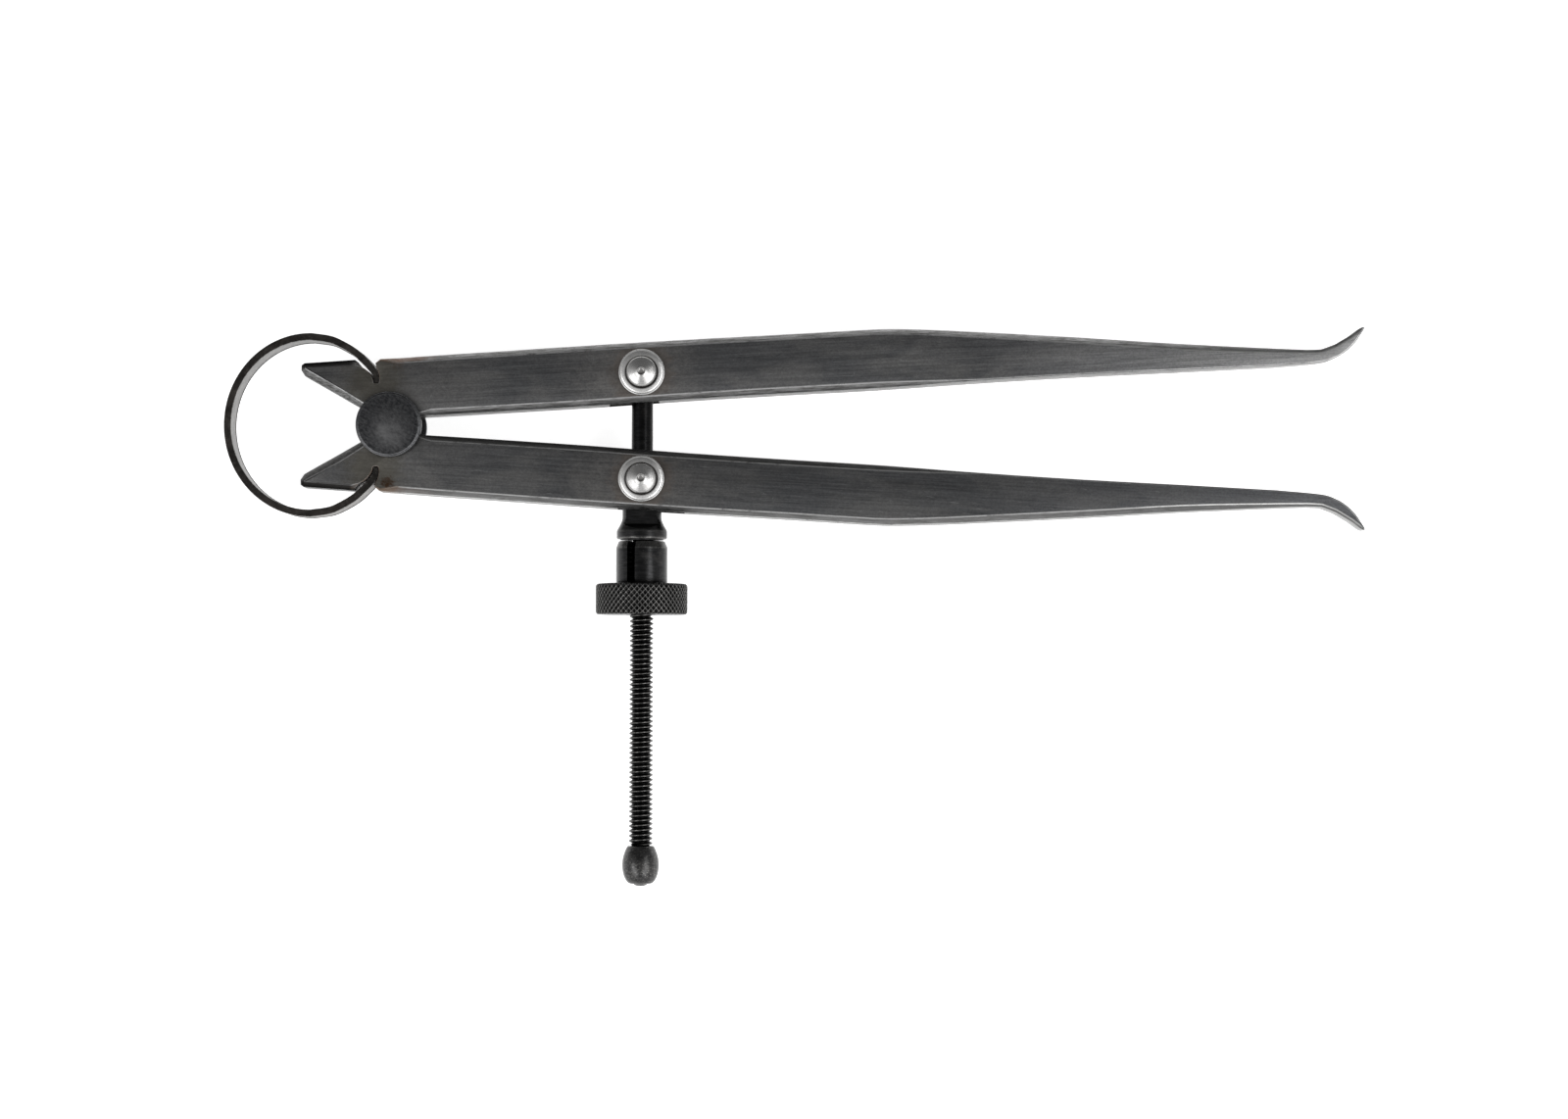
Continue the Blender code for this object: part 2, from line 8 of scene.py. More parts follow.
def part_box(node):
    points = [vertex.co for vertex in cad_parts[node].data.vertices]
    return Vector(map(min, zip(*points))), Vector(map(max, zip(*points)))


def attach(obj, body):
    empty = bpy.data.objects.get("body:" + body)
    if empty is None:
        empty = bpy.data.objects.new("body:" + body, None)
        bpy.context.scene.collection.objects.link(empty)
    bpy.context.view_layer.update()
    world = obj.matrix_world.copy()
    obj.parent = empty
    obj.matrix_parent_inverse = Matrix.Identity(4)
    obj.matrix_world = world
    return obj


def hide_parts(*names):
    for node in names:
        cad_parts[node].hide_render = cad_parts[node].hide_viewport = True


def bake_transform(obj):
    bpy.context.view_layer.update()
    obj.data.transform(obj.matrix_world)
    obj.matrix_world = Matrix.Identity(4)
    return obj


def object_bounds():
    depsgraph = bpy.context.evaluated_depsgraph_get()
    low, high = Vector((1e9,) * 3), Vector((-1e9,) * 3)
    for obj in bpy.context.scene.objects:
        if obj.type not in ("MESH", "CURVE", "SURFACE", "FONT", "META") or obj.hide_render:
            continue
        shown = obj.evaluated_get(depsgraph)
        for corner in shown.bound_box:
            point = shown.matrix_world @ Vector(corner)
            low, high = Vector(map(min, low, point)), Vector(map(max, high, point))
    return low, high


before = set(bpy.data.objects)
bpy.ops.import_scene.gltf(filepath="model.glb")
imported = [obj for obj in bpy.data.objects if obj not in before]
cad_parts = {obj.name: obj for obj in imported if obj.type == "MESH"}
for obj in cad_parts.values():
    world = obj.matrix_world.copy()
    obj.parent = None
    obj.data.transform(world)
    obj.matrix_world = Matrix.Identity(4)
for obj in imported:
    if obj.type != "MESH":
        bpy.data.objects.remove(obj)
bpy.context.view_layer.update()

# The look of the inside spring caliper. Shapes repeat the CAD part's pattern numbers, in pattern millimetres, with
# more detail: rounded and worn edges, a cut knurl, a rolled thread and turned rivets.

SIZE = 0.8
MM = 0.001 * SIZE
GAP = 0.36
LEG_T, TIP_T, TAPER_FROM, TIP_X = 6.6, 3.6, 108.0, 158.8
CHAMFER, WIDE_CHAMFER, EAR_CHAMFER = 0.9, 1.0, 1.1
STUD_R, STUD_HEAD_R, STUD_HEAD_T = 3.4, 5.35, 1.3
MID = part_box("upper_leg")[0].z / MM + LEG_T / 2
STRIP_T, STRIP_W = 1.2, 5.6
BOW_X, BOW_RX, BOW_RY = -12.9, 13.5, 14.4
PIN_X, PIN_Y, PIN_R, SPIGOT_R, RIVET_R, RIVET_H = 41.0, 8.66, 2.8, 1.9, 2.55, 1.15
WASHER_R, WASHER_T = 3.75, 0.8
PITCH = 25.4 / 40 / SIZE
MAJOR_R = 1.55 / SIZE
MINOR_R = MAJOR_R - 0.6 * PITCH
SHANK_R = 1.395 / SIZE
BORE_R = MAJOR_R + GAP
THREAD_FROM, THREAD_TO, SCREW_END, SCREW_BACK = 20.7, 75.9, 83.55, -2.2
OPEN_DEG, CLOSE_DEG = 27.0, 3.4
FLANGE_R, NECK_R, COLLAR_R, RING_R = 4.1, 3.18, 4.17, 7.5
RING_FROM, RING_TO, JAW_FROM, JAW_TO = 16.95, 22.05, 10.05, 20.7
SPLIT, SPLIT_TURN = 1.4, math.radians(23.0)
SLOT_H = 4.7

# ------------------------------------------------------------------------------------------------ node helpers


class Finish:
    """A procedural metal. Places are read from the object's own coordinates, in real millimetres."""

    def __init__(self, name, roughness=0.35, metallic=1.0, specular=0.5, anisotropic=0.0):
        self.mat = bpy.data.materials.new(name)
        self.mat.use_nodes = True
        self.tree = self.mat.node_tree
        self.bsdf = self.tree.nodes["Principled BSDF"]
        self.bsdf.inputs["Roughness"].default_value = roughness
        self.bsdf.inputs["Metallic"].default_value = metallic
        self.bsdf.inputs["Specular IOR Level"].default_value = specular
        if anisotropic:
            self.bsdf.inputs["Anisotropic"].default_value = anisotropic
        self.place = self.add("ShaderNodeTexCoord").outputs["Object"]

    def add(self, kind, **props):
        n = self.tree.nodes.new(kind)
        for key, value in props.items():
            setattr(n, key, value)
        return n

    def put(self, socket, value):
        if isinstance(value, bpy.types.NodeSocket):
            self.tree.links.new(value, socket)
        else:
            socket.default_value = value

    def mm(self, scale=(1, 1, 1), turn=(0, 0, 0), move=(0, 0, 0)):
        """Coordinates in millimetres, turned, and then stretched by a scale on each axis."""
        a = self.add("ShaderNodeMapping", vector_type="POINT")
        self.put(a.inputs["Vector"], self.place)
        a.inputs["Location"].default_value = move
        a.inputs["Rotation"].default_value = turn
        a.inputs["Scale"].default_value = (1000, 1000, 1000)
        b = self.add("ShaderNodeVectorMath", operation="MULTIPLY")
        self.put(b.inputs[0], a.outputs[0])
        b.inputs[1].default_value = scale
        return b.outputs[0]

    def noise(self, where, scale=1.0, detail=3.0, rough=0.55, distort=0.0):
        n = self.add("ShaderNodeTexNoise")
        self.put(n.inputs["Vector"], where)
        n.inputs["Scale"].default_value = scale
        n.inputs["Detail"].default_value = detail
        n.inputs["Roughness"].default_value = rough
        n.inputs["Distortion"].default_value = distort
        return n.outputs["Fac"]

    def spots(self, where, scale=1.0):
        n = self.add("ShaderNodeTexVoronoi", feature="F1")
        self.put(n.inputs["Vector"], where)
        n.inputs["Scale"].default_value = scale
        return n.outputs["Distance"]

    def span(self, value, low, high, a=0.0, b=1.0, smooth=True):
        n = self.add("ShaderNodeMapRange", interpolation_type="SMOOTHSTEP" if smooth else "LINEAR", clamp=True)
        self.put(n.inputs["Value"], value)
        for key, v in (("From Min", low), ("From Max", high), ("To Min", a), ("To Max", b)):
            n.inputs[key].default_value = v
        return n.outputs["Result"]

    def maths(self, op, a, b=0.0, clamp=False):
        n = self.add("ShaderNodeMath", operation=op, use_clamp=clamp)
        self.put(n.inputs[0], a)
        self.put(n.inputs[1], b)
        return n.outputs[0]

    def mix(self, share, a, b, how="MIX"):
        n = self.add("ShaderNodeMix", data_type="RGBA", blend_type=how)
        self.put(n.inputs[0], share)
        self.put(n.inputs[6], a if isinstance(a, bpy.types.NodeSocket) else (*a, 1.0))
        self.put(n.inputs[7], b if isinstance(b, bpy.types.NodeSocket) else (*b, 1.0))
        return n.outputs[2]

    def attribute(self, name):
        return self.add("ShaderNodeAttribute", attribute_type="GEOMETRY", attribute_name=name).outputs["Fac"]

    def axis(self, which):
        """One coordinate in millimetres."""
        n = self.add("ShaderNodeSeparateXYZ")
        self.put(n.inputs[0], self.mm())
        return n.outputs[which]

    def near(self, centre, radius, soft, rag=0.0, rag_scale=0.6):
        """1 inside a ragged ball around a place in pattern millimetres, 0 outside it."""
        c = Vector(centre) * SIZE
        n = self.add("ShaderNodeVectorMath", operation="DISTANCE")
        self.put(n.inputs[0], self.mm())
        n.inputs[1].default_value = c
        d = n.outputs["Value"]
        if rag:
            wobble = self.noise(self.mm(move=(7, 3, 1)), rag_scale, 5.0, 0.65)
            d = self.maths("ADD", d, self.maths("MULTIPLY", self.maths("SUBTRACT", wobble, 0.5), rag * 2))
        return self.span(d, radius * SIZE + soft * SIZE, radius * SIZE, 0.0, 1.0)

    def bump(self, height, strength, distance, base=None):
        n = self.add("ShaderNodeBump")
        n.inputs["Strength"].default_value = strength
        n.inputs["Distance"].default_value = distance * 0.001
        self.put(n.inputs["Height"], height)
        if base is not None:
            self.put(n.inputs["Normal"], base)
        return n.outputs["Normal"]

    def done(self, colour, rough=None, normal=None):
        self.put(self.bsdf.inputs["Base Color"], colour)
        if rough is not None:
            self.put(self.bsdf.inputs["Roughness"], rough)
        if normal is not None:
            self.put(self.bsdf.inputs["Normal"], normal)
        return self.mat


LEAN = math.radians(3.0)  # the legs' middle lines lean this much off the centre line


def leg_flat(side):
    """Ground gunmetal: fine lengthwise grinding lines, cloudy oxide, rust at the notches, lighter towards the tips; a
    painted highlight makes the upper leg's tips lighter, and painted shade darkens the lower leg.
    """
    f = Finish(f"leg_flat_{'upper' if side > 0 else 'lower'}", anisotropic=0.35)
    turn = (0, 0, -side * LEAN)
    lines = f.noise(f.mm((0.10, 5.5, 1.0), turn), 1.0, 7.0, 0.72)
    fine = f.noise(f.mm((0.35, 16.0, 1.0), turn, (3, 9, 0)), 1.0, 4.0, 0.6)
    cloud = f.noise(f.mm((0.35, 0.9, 1.0), turn), 0.28, 5.0, 0.6, 0.6)
    patch = f.noise(f.mm((1.0, 1.6, 1.0), turn, (20, 4, 0)), 0.75, 6.0, 0.7, 1.1)
    x = f.axis(0)
    colour = f.mix(f.span(lines, 0.32, 0.70), (0.098, 0.100, 0.104), (0.150, 0.152, 0.156))
    colour = f.mix(f.span(cloud, 0.38, 0.66, 0.0, 0.55), colour, (0.215, 0.212, 0.206))
    colour = f.mix(f.span(patch, 0.50, 0.75, 0.0, 0.30), colour, (0.070, 0.072, 0.078))
    # bare and lighter by the fulcrum and by the pins
    bare = f.span(x, 16.0, 5.0, 0.0, 0.45)
    bare = f.maths("MAXIMUM", bare, f.near((PIN_X - 1.5, side * PIN_Y, MID + 3.3), 5.0, 9.0, 4.0, 0.4))
    bare = f.maths("MULTIPLY", bare, f.span(patch, 0.30, 0.62, 0.35, 1.0))
    colour = f.mix(f.maths("MULTIPLY", bare, 0.62), colour, (0.235, 0.228, 0.218))
    # bare and lighter towards the tips, with a painted highlight: the upper leg's tips take a far lighter tone than the
    # lower leg's
    tip_wear_and_sheen = f.span(x, 76.0, 124.0, 0.0, 1.0, smooth=False)
    tip_wear_and_sheen = f.maths("MULTIPLY", tip_wear_and_sheen, f.span(lines, 0.25, 0.65, 0.45, 1.0))
    tone = (0.50, 0.50, 0.50) if side > 0 else (0.24, 0.245, 0.255)
    colour = f.mix(f.maths("MULTIPLY", tip_wear_and_sheen, 0.85), colour, tone)
    # painted shade: from the fulcrum outwards the lower leg's flat is painted much darker than the upper leg's
    colour = f.mix(f.span(x, 10.0, 34.0, 0.0, 0.03 if side > 0 else 0.22), colour, (0.010, 0.010, 0.012))
    grain = f.noise(f.mm((1.0, 1.3, 1.0), turn, (8, 8, 8)), 3.4, 4.0, 0.72)
    colour = f.mix(f.span(grain, 0.36, 0.64, 0.24, 0.0), colour, (0.012, 0.012, 0.014))
    # pale scratches, most of them lengthwise
    nick = f.span(f.noise(f.mm((0.45, 9.0, 1.0), (0, 0, 0.09 - side * LEAN), (1, 31, 0)), 1.0, 2.0, 0.5), 0.70, 0.78)
    nick2 = f.span(f.noise(f.mm((7.0, 0.8, 1.0), (0, 0, 0.35), (11, 5, 0)), 1.0, 2.0, 0.5), 0.745, 0.80)
    colour = f.mix(f.maths("MULTIPLY", f.maths("MAXIMUM", nick, nick2), 0.45), colour, (0.36, 0.36, 0.36))
    # brown haze round the pin and rust by the spring's slot
    haze = f.near((PIN_X, side * PIN_Y, MID + 3.3), 3.9, 2.2, 2.2, 0.8)
    colour = f.mix(f.maths("MULTIPLY", haze, 0.34), colour, (0.165, 0.128, 0.100))
    stain = f.near((-2.5, side * 7.2, MID + 3.3), 2.0, 4.6, 2.6, 0.8)
    colour = f.mix(f.maths("MULTIPLY", stain, 0.55), colour, (0.100, 0.090, 0.066))
    if side < 0:
        rust = f.near((-0.3, -9.5, MID + 3.3), 0.45, 0.9, 0.9, 2.6)
        grit = f.noise(f.mm(move=(2, 2, 9)), 2.6, 5.0, 0.75)
        colour = f.mix(f.maths("MULTIPLY", rust, f.span(grit, 0.30, 0.55, 0.35, 0.95)), colour, (0.050, 0.026, 0.013))
    else:
        rust = f.near((1.6, 11.2, MID + 3.3), 0.3, 2.4, 1.6, 1.4)
        colour = f.mix(f.maths("MULTIPLY", rust, 0.40), colour, (0.120, 0.075, 0.050))
    rough = f.span(lines, 0.3, 0.7, 0.30, 0.44)
    rough = f.maths("ADD", rough, f.span(patch, 0.4, 0.8, 0.0, 0.10))
    normal = f.bump(lines, 0.30, 0.035)
    normal = f.bump(fine, 0.22, 0.012, normal)
    normal = f.bump(f.maths("MAXIMUM", nick, nick2), 0.35, -0.010, normal)
    return f.done(colour, rough, normal)


def leg_edge(side):
    """The filed bevels: bare and scratchy, with the brown of old oxide left in the low places; the lower leg's bevels
    are painted darker than the upper leg's and the ear's outer bevels are painted near-black, both painted shade.
    """
    f = Finish(f"leg_bevel_{'upper' if side > 0 else 'lower'}")
    turn = (0, 0, -side * LEAN)
    lines = f.noise(f.mm((0.22, 3.0, 3.0), turn, (5, 1, 2)), 1.4, 6.0, 0.7)
    pits = f.noise(f.mm((0.9, 2.4, 2.4), turn, (2, 8, 1)), 1.5, 5.0, 0.75, 0.8)
    x = f.axis(0)
    # painted shade: the lower leg's bevels take a darker tone than the upper leg's
    tone = (0.300,) * 3 if side > 0 else (0.175,) * 3
    colour = f.mix(f.span(lines, 0.36, 0.64), (0.105, 0.104, 0.102), tone)
    colour = f.mix(f.span(pits, 0.52, 0.70, 0.0, 0.60), colour, (0.100, 0.094, 0.086))
    # lighter towards the tips, the lower leg's much less so: painted shade on the lower leg
    colour = f.mix(f.span(x, 70.0, 124.0, 0.0, 0.35, smooth=False), colour, (0.30,) * 3 if side > 0 else (0.15,) * 3)
    # painted shade: the bevels on the ear's outer side, along the spring, are painted near-black
    ear = f.span(x, -4.2, -5.2)
    outer = f.maths("MULTIPLY", ear, f.span(f.axis(1), side * 7.2, side * 7.5))
    colour = f.mix(f.maths("MULTIPLY", outer, 0.93), colour, (0.022, 0.021, 0.020))
    stain = f.near((-2.0, side * 9.5, MID + 2.5), 1.6, 3.0, 2.0, 0.9)
    colour = f.mix(f.maths("MULTIPLY", stain, 0.75), colour, (0.120, 0.075, 0.045))
    rust = f.near((3.2, side * 11.2, MID + 2.5), 1.6, 3.4, 2.6, 0.9)
    colour = f.mix(f.maths("MULTIPLY", rust, 0.55 if side > 0 else 0.15), colour, (0.150, 0.088, 0.060))
    rough = f.span(pits, 0.35, 0.7, 0.28, 0.50)
    normal = f.bump(lines, 0.45, 0.030)
    normal = f.bump(pits, 0.45, 0.030, normal)
    return f.done(colour, rough, normal)


def leg_rim(side):
    """The worn ridges where a flat meets its bevel, rubbed to bare steel in places."""
    f = Finish(f"leg_ridge_{'upper' if side > 0 else 'lower'}")
    worn = f.noise(f.mm((0.5, 1.2, 1.2), move=(4, 4, 4)), 0.9, 6.0, 0.75, 0.5)
    grain = f.noise(f.mm((0.5, 6.0, 6.0)), 2.0, 3.0, 0.6)
    colour = f.mix(f.span(worn, 0.30, 0.54), (0.160, 0.158, 0.158), (0.44, 0.44, 0.44))
    colour = f.mix(f.span(grain, 0.55, 0.75, 0.0, 0.4), colour, (0.12, 0.115, 0.11))
    outside = f.span(f.maths("MULTIPLY", f.axis(1), float(side)), 8.6, 9.2)
    far = f.span(f.axis(0), 78.0, 100.0, 0.0, 0.6)
    colour = f.mix(f.maths("MULTIPLY", far, outside), colour, (0.50, 0.50, 0.49))
    # painted shade: the ridges on the ear's outer side, along the spring, are painted near-black
    outer = f.maths("MULTIPLY", f.span(f.axis(0), -4.2, -5.2), f.span(f.axis(1), side * 7.2, side * 7.5))
    colour = f.mix(f.maths("MULTIPLY", outer, 0.85), colour, (0.030, 0.029, 0.028))
    stain = f.near((-1.5, side * 9.8, MID + 3.0), 1.8, 2.8, 2.0, 0.9)
    colour = f.mix(f.maths("MULTIPLY", stain, 0.8), colour, (0.115, 0.070, 0.040))
    normal = f.bump(f.noise(f.mm((1.5, 3.0, 3.0)), 2.0, 5.0, 0.7), 0.4, 0.025)
    return f.done(colour, f.span(worn, 0.3, 0.7, 0.40, 0.26), normal)


def leg_wall(side):
    """The narrow side walls: darker, with long drawing marks."""
    f = Finish(f"leg_wall_{'upper' if side > 0 else 'lower'}")
    lines = f.noise(f.mm((0.16, 1.0, 5.0)), 1.2, 6.0, 0.7)
    pits = f.noise(f.mm((0.8, 0.8, 0.8), move=(9, 2, 6)), 1.1, 6.0, 0.72, 0.7)
    x = f.axis(0)
    colour = f.mix(f.span(lines, 0.32, 0.68), (0.090, 0.089, 0.088), (0.185, 0.183, 0.180))
    colour = f.mix(f.span(pits, 0.52, 0.74, 0.0, 0.55), colour, (0.075, 0.066, 0.058))
    colour = f.mix(f.span(x, 98.0, 132.0, 0.0, 0.60, smooth=False), colour, (0.38, 0.38, 0.38))
    # painted shade: the walls on the ear's outer side, along the spring, are painted near-black
    outer = f.maths("MULTIPLY", f.span(x, -4.2, -5.2), f.span(f.axis(1), side * 7.2, side * 7.5))
    colour = f.mix(f.maths("MULTIPLY", outer, 0.85), colour, (0.026, 0.025, 0.024))
    rust = f.near((-1.5, side * 10.2, MID), 1.6, 3.6, 2.2, 0.9)
    colour = f.mix(f.maths("MULTIPLY", rust, 0.7), colour, (0.090, 0.052, 0.030))
    normal = f.bump(lines, 0.4, 0.03)
    normal = f.bump(pits, 0.3, 0.03, normal)
    return f.done(colour, f.span(pits, 0.3, 0.75, 0.33, 0.50), normal)


def leg_cut():
    """Milled slots and reamed holes, blackened."""
    f = Finish("leg_milled")
    lines = f.noise(f.mm((3.0, 3.0, 0.6)), 1.6, 4.0, 0.6)
    colour = f.mix(f.span(lines, 0.35, 0.7), (0.045, 0.043, 0.042), (0.095, 0.092, 0.088))
    return f.done(colour, f.span(lines, 0.3, 0.7, 0.36, 0.5), f.bump(lines, 0.35, 0.02))


def black_oxide(name, light=1.0, rough=0.36, turned_along=1, scratch=0.5, fleck=0.64):
    """Blackened turned steel: fine tool rings, cloudy sheen, pale rubbed spots."""
    f = Finish(name)
    stretch = [0.5, 0.5, 0.5]
    stretch[turned_along] = 9.0
    rings = f.noise(f.mm(tuple(stretch)), 1.2, 4.0, 0.6)
    cloud = f.noise(f.mm(), 0.55, 6.0, 0.65, 0.7)
    speck = f.noise(f.mm(move=(3, 5, 8)), 4.5, 4.0, 0.7)
    low = tuple(light * v for v in (0.018, 0.018, 0.0185))
    high = tuple(light * v for v in (0.040, 0.040, 0.041))
    colour = f.mix(f.span(rings, 0.35, 0.68), low, high)
    colour = f.mix(f.span(cloud, 0.50, 0.74, 0.0, 0.6), colour, tuple(light * v for v in (0.070, 0.067, 0.064)))
    colour = f.mix(f.span(speck, fleck, fleck + 0.12, 0.0, scratch), colour, (0.20, 0.195, 0.185))
    edge = f.attribute("rubbed")
    edge = f.maths("MULTIPLY", edge, f.span(speck, 0.30, 0.62, 0.25, 1.0))
    colour = f.mix(edge, colour, (0.30, 0.295, 0.285))
    r = f.maths("ADD", f.span(cloud, 0.3, 0.75, rough - 0.05, rough + 0.10), f.span(speck, 0.4, 0.8, 0.0, 0.05))
    normal = f.bump(rings, 0.30, 0.012)
    normal = f.bump(speck, 0.16, 0.014, normal)
    return f.done(colour, r, normal)


def spring_finish(name, low, high, bright=0.25, worn=0.0):
    """Blackened drawn strip, brown where the oxide has aged."""
    f = Finish(name)
    lines = f.noise(f.mm((1.2, 1.2, 5.0), move=(2, 2, 2)), 1.0, 5.0, 0.7)
    cloud = f.noise(f.mm(), 0.42, 6.0, 0.65, 0.8)
    pits = f.noise(f.mm(move=(5, 9, 2)), 2.6, 5.0, 0.72)
    colour = f.mix(f.span(cloud, 0.36, 0.66), low, high)
    colour = f.mix(f.span(lines, 0.52, 0.74, 0.0, 0.5), colour, tuple(1.9 * v for v in high))
    colour = f.mix(f.span(pits, 0.60, 0.74, 0.0, bright), colour, (0.26, 0.25, 0.235))
    if worn:
        colour = f.mix(f.span(pits, 0.44, 0.60, 0.0, worn), colour, (0.42, 0.41, 0.40))
    normal = f.bump(lines, 0.35, 0.02)
    normal = f.bump(pits, 0.45, 0.03, normal)
    return f.done(colour, f.span(pits, 0.3, 0.75, 0.30, 0.50), normal)


def stud_finish():
    """Blued stud head: dark rim, greyer cloudy middle, rubbed on the step."""
    f = Finish("stud_blued")
    n = f.add("ShaderNodeVectorMath", operation="LENGTH")
    flat = f.add("ShaderNodeVectorMath", operation="MULTIPLY")
    f.put(flat.inputs[0], f.mm())
    flat.inputs[1].default_value = (1, 1, 0)
    f.put(n.inputs[0], flat.outputs[0])
    cloud = f.noise(f.mm(move=(3.1, 1.5, 0)), 0.26, 7.0, 0.66, 0.2)
    grain = f.noise(f.mm((1, 1.6, 1), (0, 0, 0.5)), 2.0, 6.0, 0.75)
    sink = f.add("ShaderNodeVectorMath", operation="DISTANCE")
    f.put(sink.inputs[0], flat.outputs[0])
    sink.inputs[1].default_value = (0.3, -0.7, 0)
    middle = f.maths("MULTIPLY", f.span(sink.outputs["Value"], 3.6, 0.4), f.span(cloud, 0.40, 0.62, 0.30, 1.0))
    colour = f.mix(f.span(grain, 0.35, 0.7), (0.034, 0.035, 0.038), (0.105, 0.106, 0.110))
    colour = f.mix(f.maths("MULTIPLY", middle, 0.85), colour, (0.245, 0.245, 0.248))
    edge = f.attribute("rubbed")
    edge = f.maths("MULTIPLY", edge, f.span(cloud, 0.34, 0.60, 0.25, 1.0))
    colour = f.mix(edge, colour, (0.36, 0.36, 0.37))
    fleck = f.span(f.noise(f.mm(move=(6, 1, 3)), 5.5, 3.0, 0.6), 0.68, 0.76)
    colour = f.mix(f.maths("MULTIPLY", fleck, 0.45), colour, (0.30, 0.29, 0.28))
    normal = f.bump(grain, 0.22, 0.020)
    normal = f.bump(cloud, 0.20, 0.060, normal)
    return f.done(colour, f.span(grain, 0.3, 0.75, 0.30, 0.44), normal)


def bright_finish(name, centre, tone=0.62, rough=0.22, rings=0.35):
    """Bright turned steel with fine rings about its own middle, brown in the corners."""
    f = Finish(name)
    c = Vector(centre) * SIZE
    n = f.add("ShaderNodeVectorMath", operation="DISTANCE")
    flat = f.add("ShaderNodeVectorMath", operation="MULTIPLY")
    f.put(flat.inputs[0], f.mm())
    flat.inputs[1].default_value = (1, 1, 0)
    f.put(n.inputs[0], flat.outputs[0])
    n.inputs[1].default_value = (c.x, c.y, 0)
    radius = n.outputs["Value"]
    wave = f.add("ShaderNodeTexNoise", noise_dimensions="1D")
    f.put(wave.inputs["W"], radius)
    wave.inputs["Scale"].default_value = 9.0
    wave.inputs["Detail"].default_value = 3.0
    ring = wave.outputs["Fac"]
    cloud = f.noise(f.mm(), 1.1, 6.0, 0.68, 0.8)
    pits = f.noise(f.mm(move=(3, 1, 7)), 4.5, 5.0, 0.72)
    colour = f.mix(f.span(ring, 0.35, 0.65), (tone * 0.80,) * 3, (tone, tone * 0.99, tone * 0.97))
    colour = f.mix(f.span(cloud, 0.50, 0.72, 0.0, 0.35), colour, (0.42, 0.39, 0.36))
    colour = f.mix(f.span(pits, 0.60, 0.74, 0.0, 0.55), colour, (0.20, 0.185, 0.17))
    grime = f.attribute("grime")
    colour = f.mix(f.maths("MULTIPLY", grime, f.span(cloud, 0.25, 0.6, 0.7, 1.0)), colour, (0.070, 0.060, 0.052))
    normal = f.bump(ring, rings, 0.020)
    normal = f.bump(pits, 0.25, 0.020, normal)
    return f.done(colour, f.span(cloud, 0.3, 0.7, rough - 0.04, rough + 0.12), normal)


# ------------------------------------------------------------------------------------------------ mesh helpers


def place(name, bm, mats, body, instead=(), at=(0, 0, 0), turn=None, sharp=32, marks=None):
    """Turn a bmesh in pattern millimetres into a piece in the row frame that rides on a body."""
    where = Matrix.Translation(Vector(at))
    if turn is not None:
        where = where @ turn
    bmesh.ops.transform(bm, matrix=Matrix.Scale(MM, 4) @ where, verts=bm.verts)
    bmesh.ops.recalc_face_normals(bm, faces=bm.faces)
    mesh = bpy.data.meshes.new(name)
    bm.to_mesh(mesh)
    bm.free()
    for m in mats:
        mesh.materials.append(m)
    mesh.shade_smooth()
    mesh.set_sharp_from_angle(angle=math.radians(sharp))
    obj = bpy.data.objects.new(name, mesh)
    bpy.context.scene.collection.objects.link(obj)
    if instead:
        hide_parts(*instead)
    if body:
        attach(obj, body)
    return obj


ALONG_SCREW = Matrix.Rotation(math.radians(90), 4, "X")  # a piece's own +Z runs along the row's -Y


def lathe(profile, steps, marks=None, layer="rubbed"):
    """Spin (radius, height) points about Z. marks gives each profile point's share of wear."""
    bm = bmesh.new()
    wear = bm.verts.layers.float.new(layer)
    closed = profile[0] == profile[-1]
    points = profile[:-1] if closed else profile
    rows = []
    for i, (r, z) in enumerate(points):
        m = marks[i] if marks else 0.0
        if r < 1e-6:
            v = bm.verts.new((0, 0, z))
            v[wear] = m
            rows.append([v])
            continue
        row = []
        for k in range(steps):
            a = 2 * math.pi * k / steps
            v = bm.verts.new((r * math.cos(a), r * math.sin(a), z))
            v[wear] = m
            row.append(v)
        rows.append(row)
    pairs = list(zip(rows, rows[1:]))
    if closed:
        pairs.append((rows[-1], rows[0]))
    for a, b in pairs:
        for k in range(steps):
            j = (k + 1) % steps
            ring = [a[k % len(a)], a[j % len(a)], b[j % len(b)], b[k % len(b)]]
            unique = []
            for v in ring:
                if v not in unique:
                    unique.append(v)
            if len(unique) > 2:
                bm.faces.new(unique)
    return bm


def arc(cr, cz, radius, start, end, steps):
    """Profile points round a corner."""
    return [
        (cr + radius * math.cos(math.radians(start + (end - start) * k / steps)),
         cz + radius * math.sin(math.radians(start + (end - start) * k / steps)))
        for k in range(steps + 1)
    ]


def catmull(points, per):
    ends = [
        (2 * points[0][0] - points[1][0], 2 * points[0][1] - points[1][1]),
        (2 * points[-1][0] - points[-2][0], 2 * points[-1][1] - points[-2][1]),
    ]
    p = [ends[0]] + list(points) + [ends[1]]
    out = []
    for i in range(1, len(p) - 2):
        for k in range(per):
            t = k / per
            out.append(tuple(
                0.5 * (2 * p[i][a] + (p[i + 1][a] - p[i - 1][a]) * t
                       + (2 * p[i - 1][a] - 5 * p[i][a] + 4 * p[i + 1][a] - p[i + 2][a]) * t * t
                       + (3 * p[i][a] - p[i - 1][a] - 3 * p[i + 1][a] + p[i + 2][a]) * t**3)
                for a in (0, 1)))
    return out + [points[-1]]


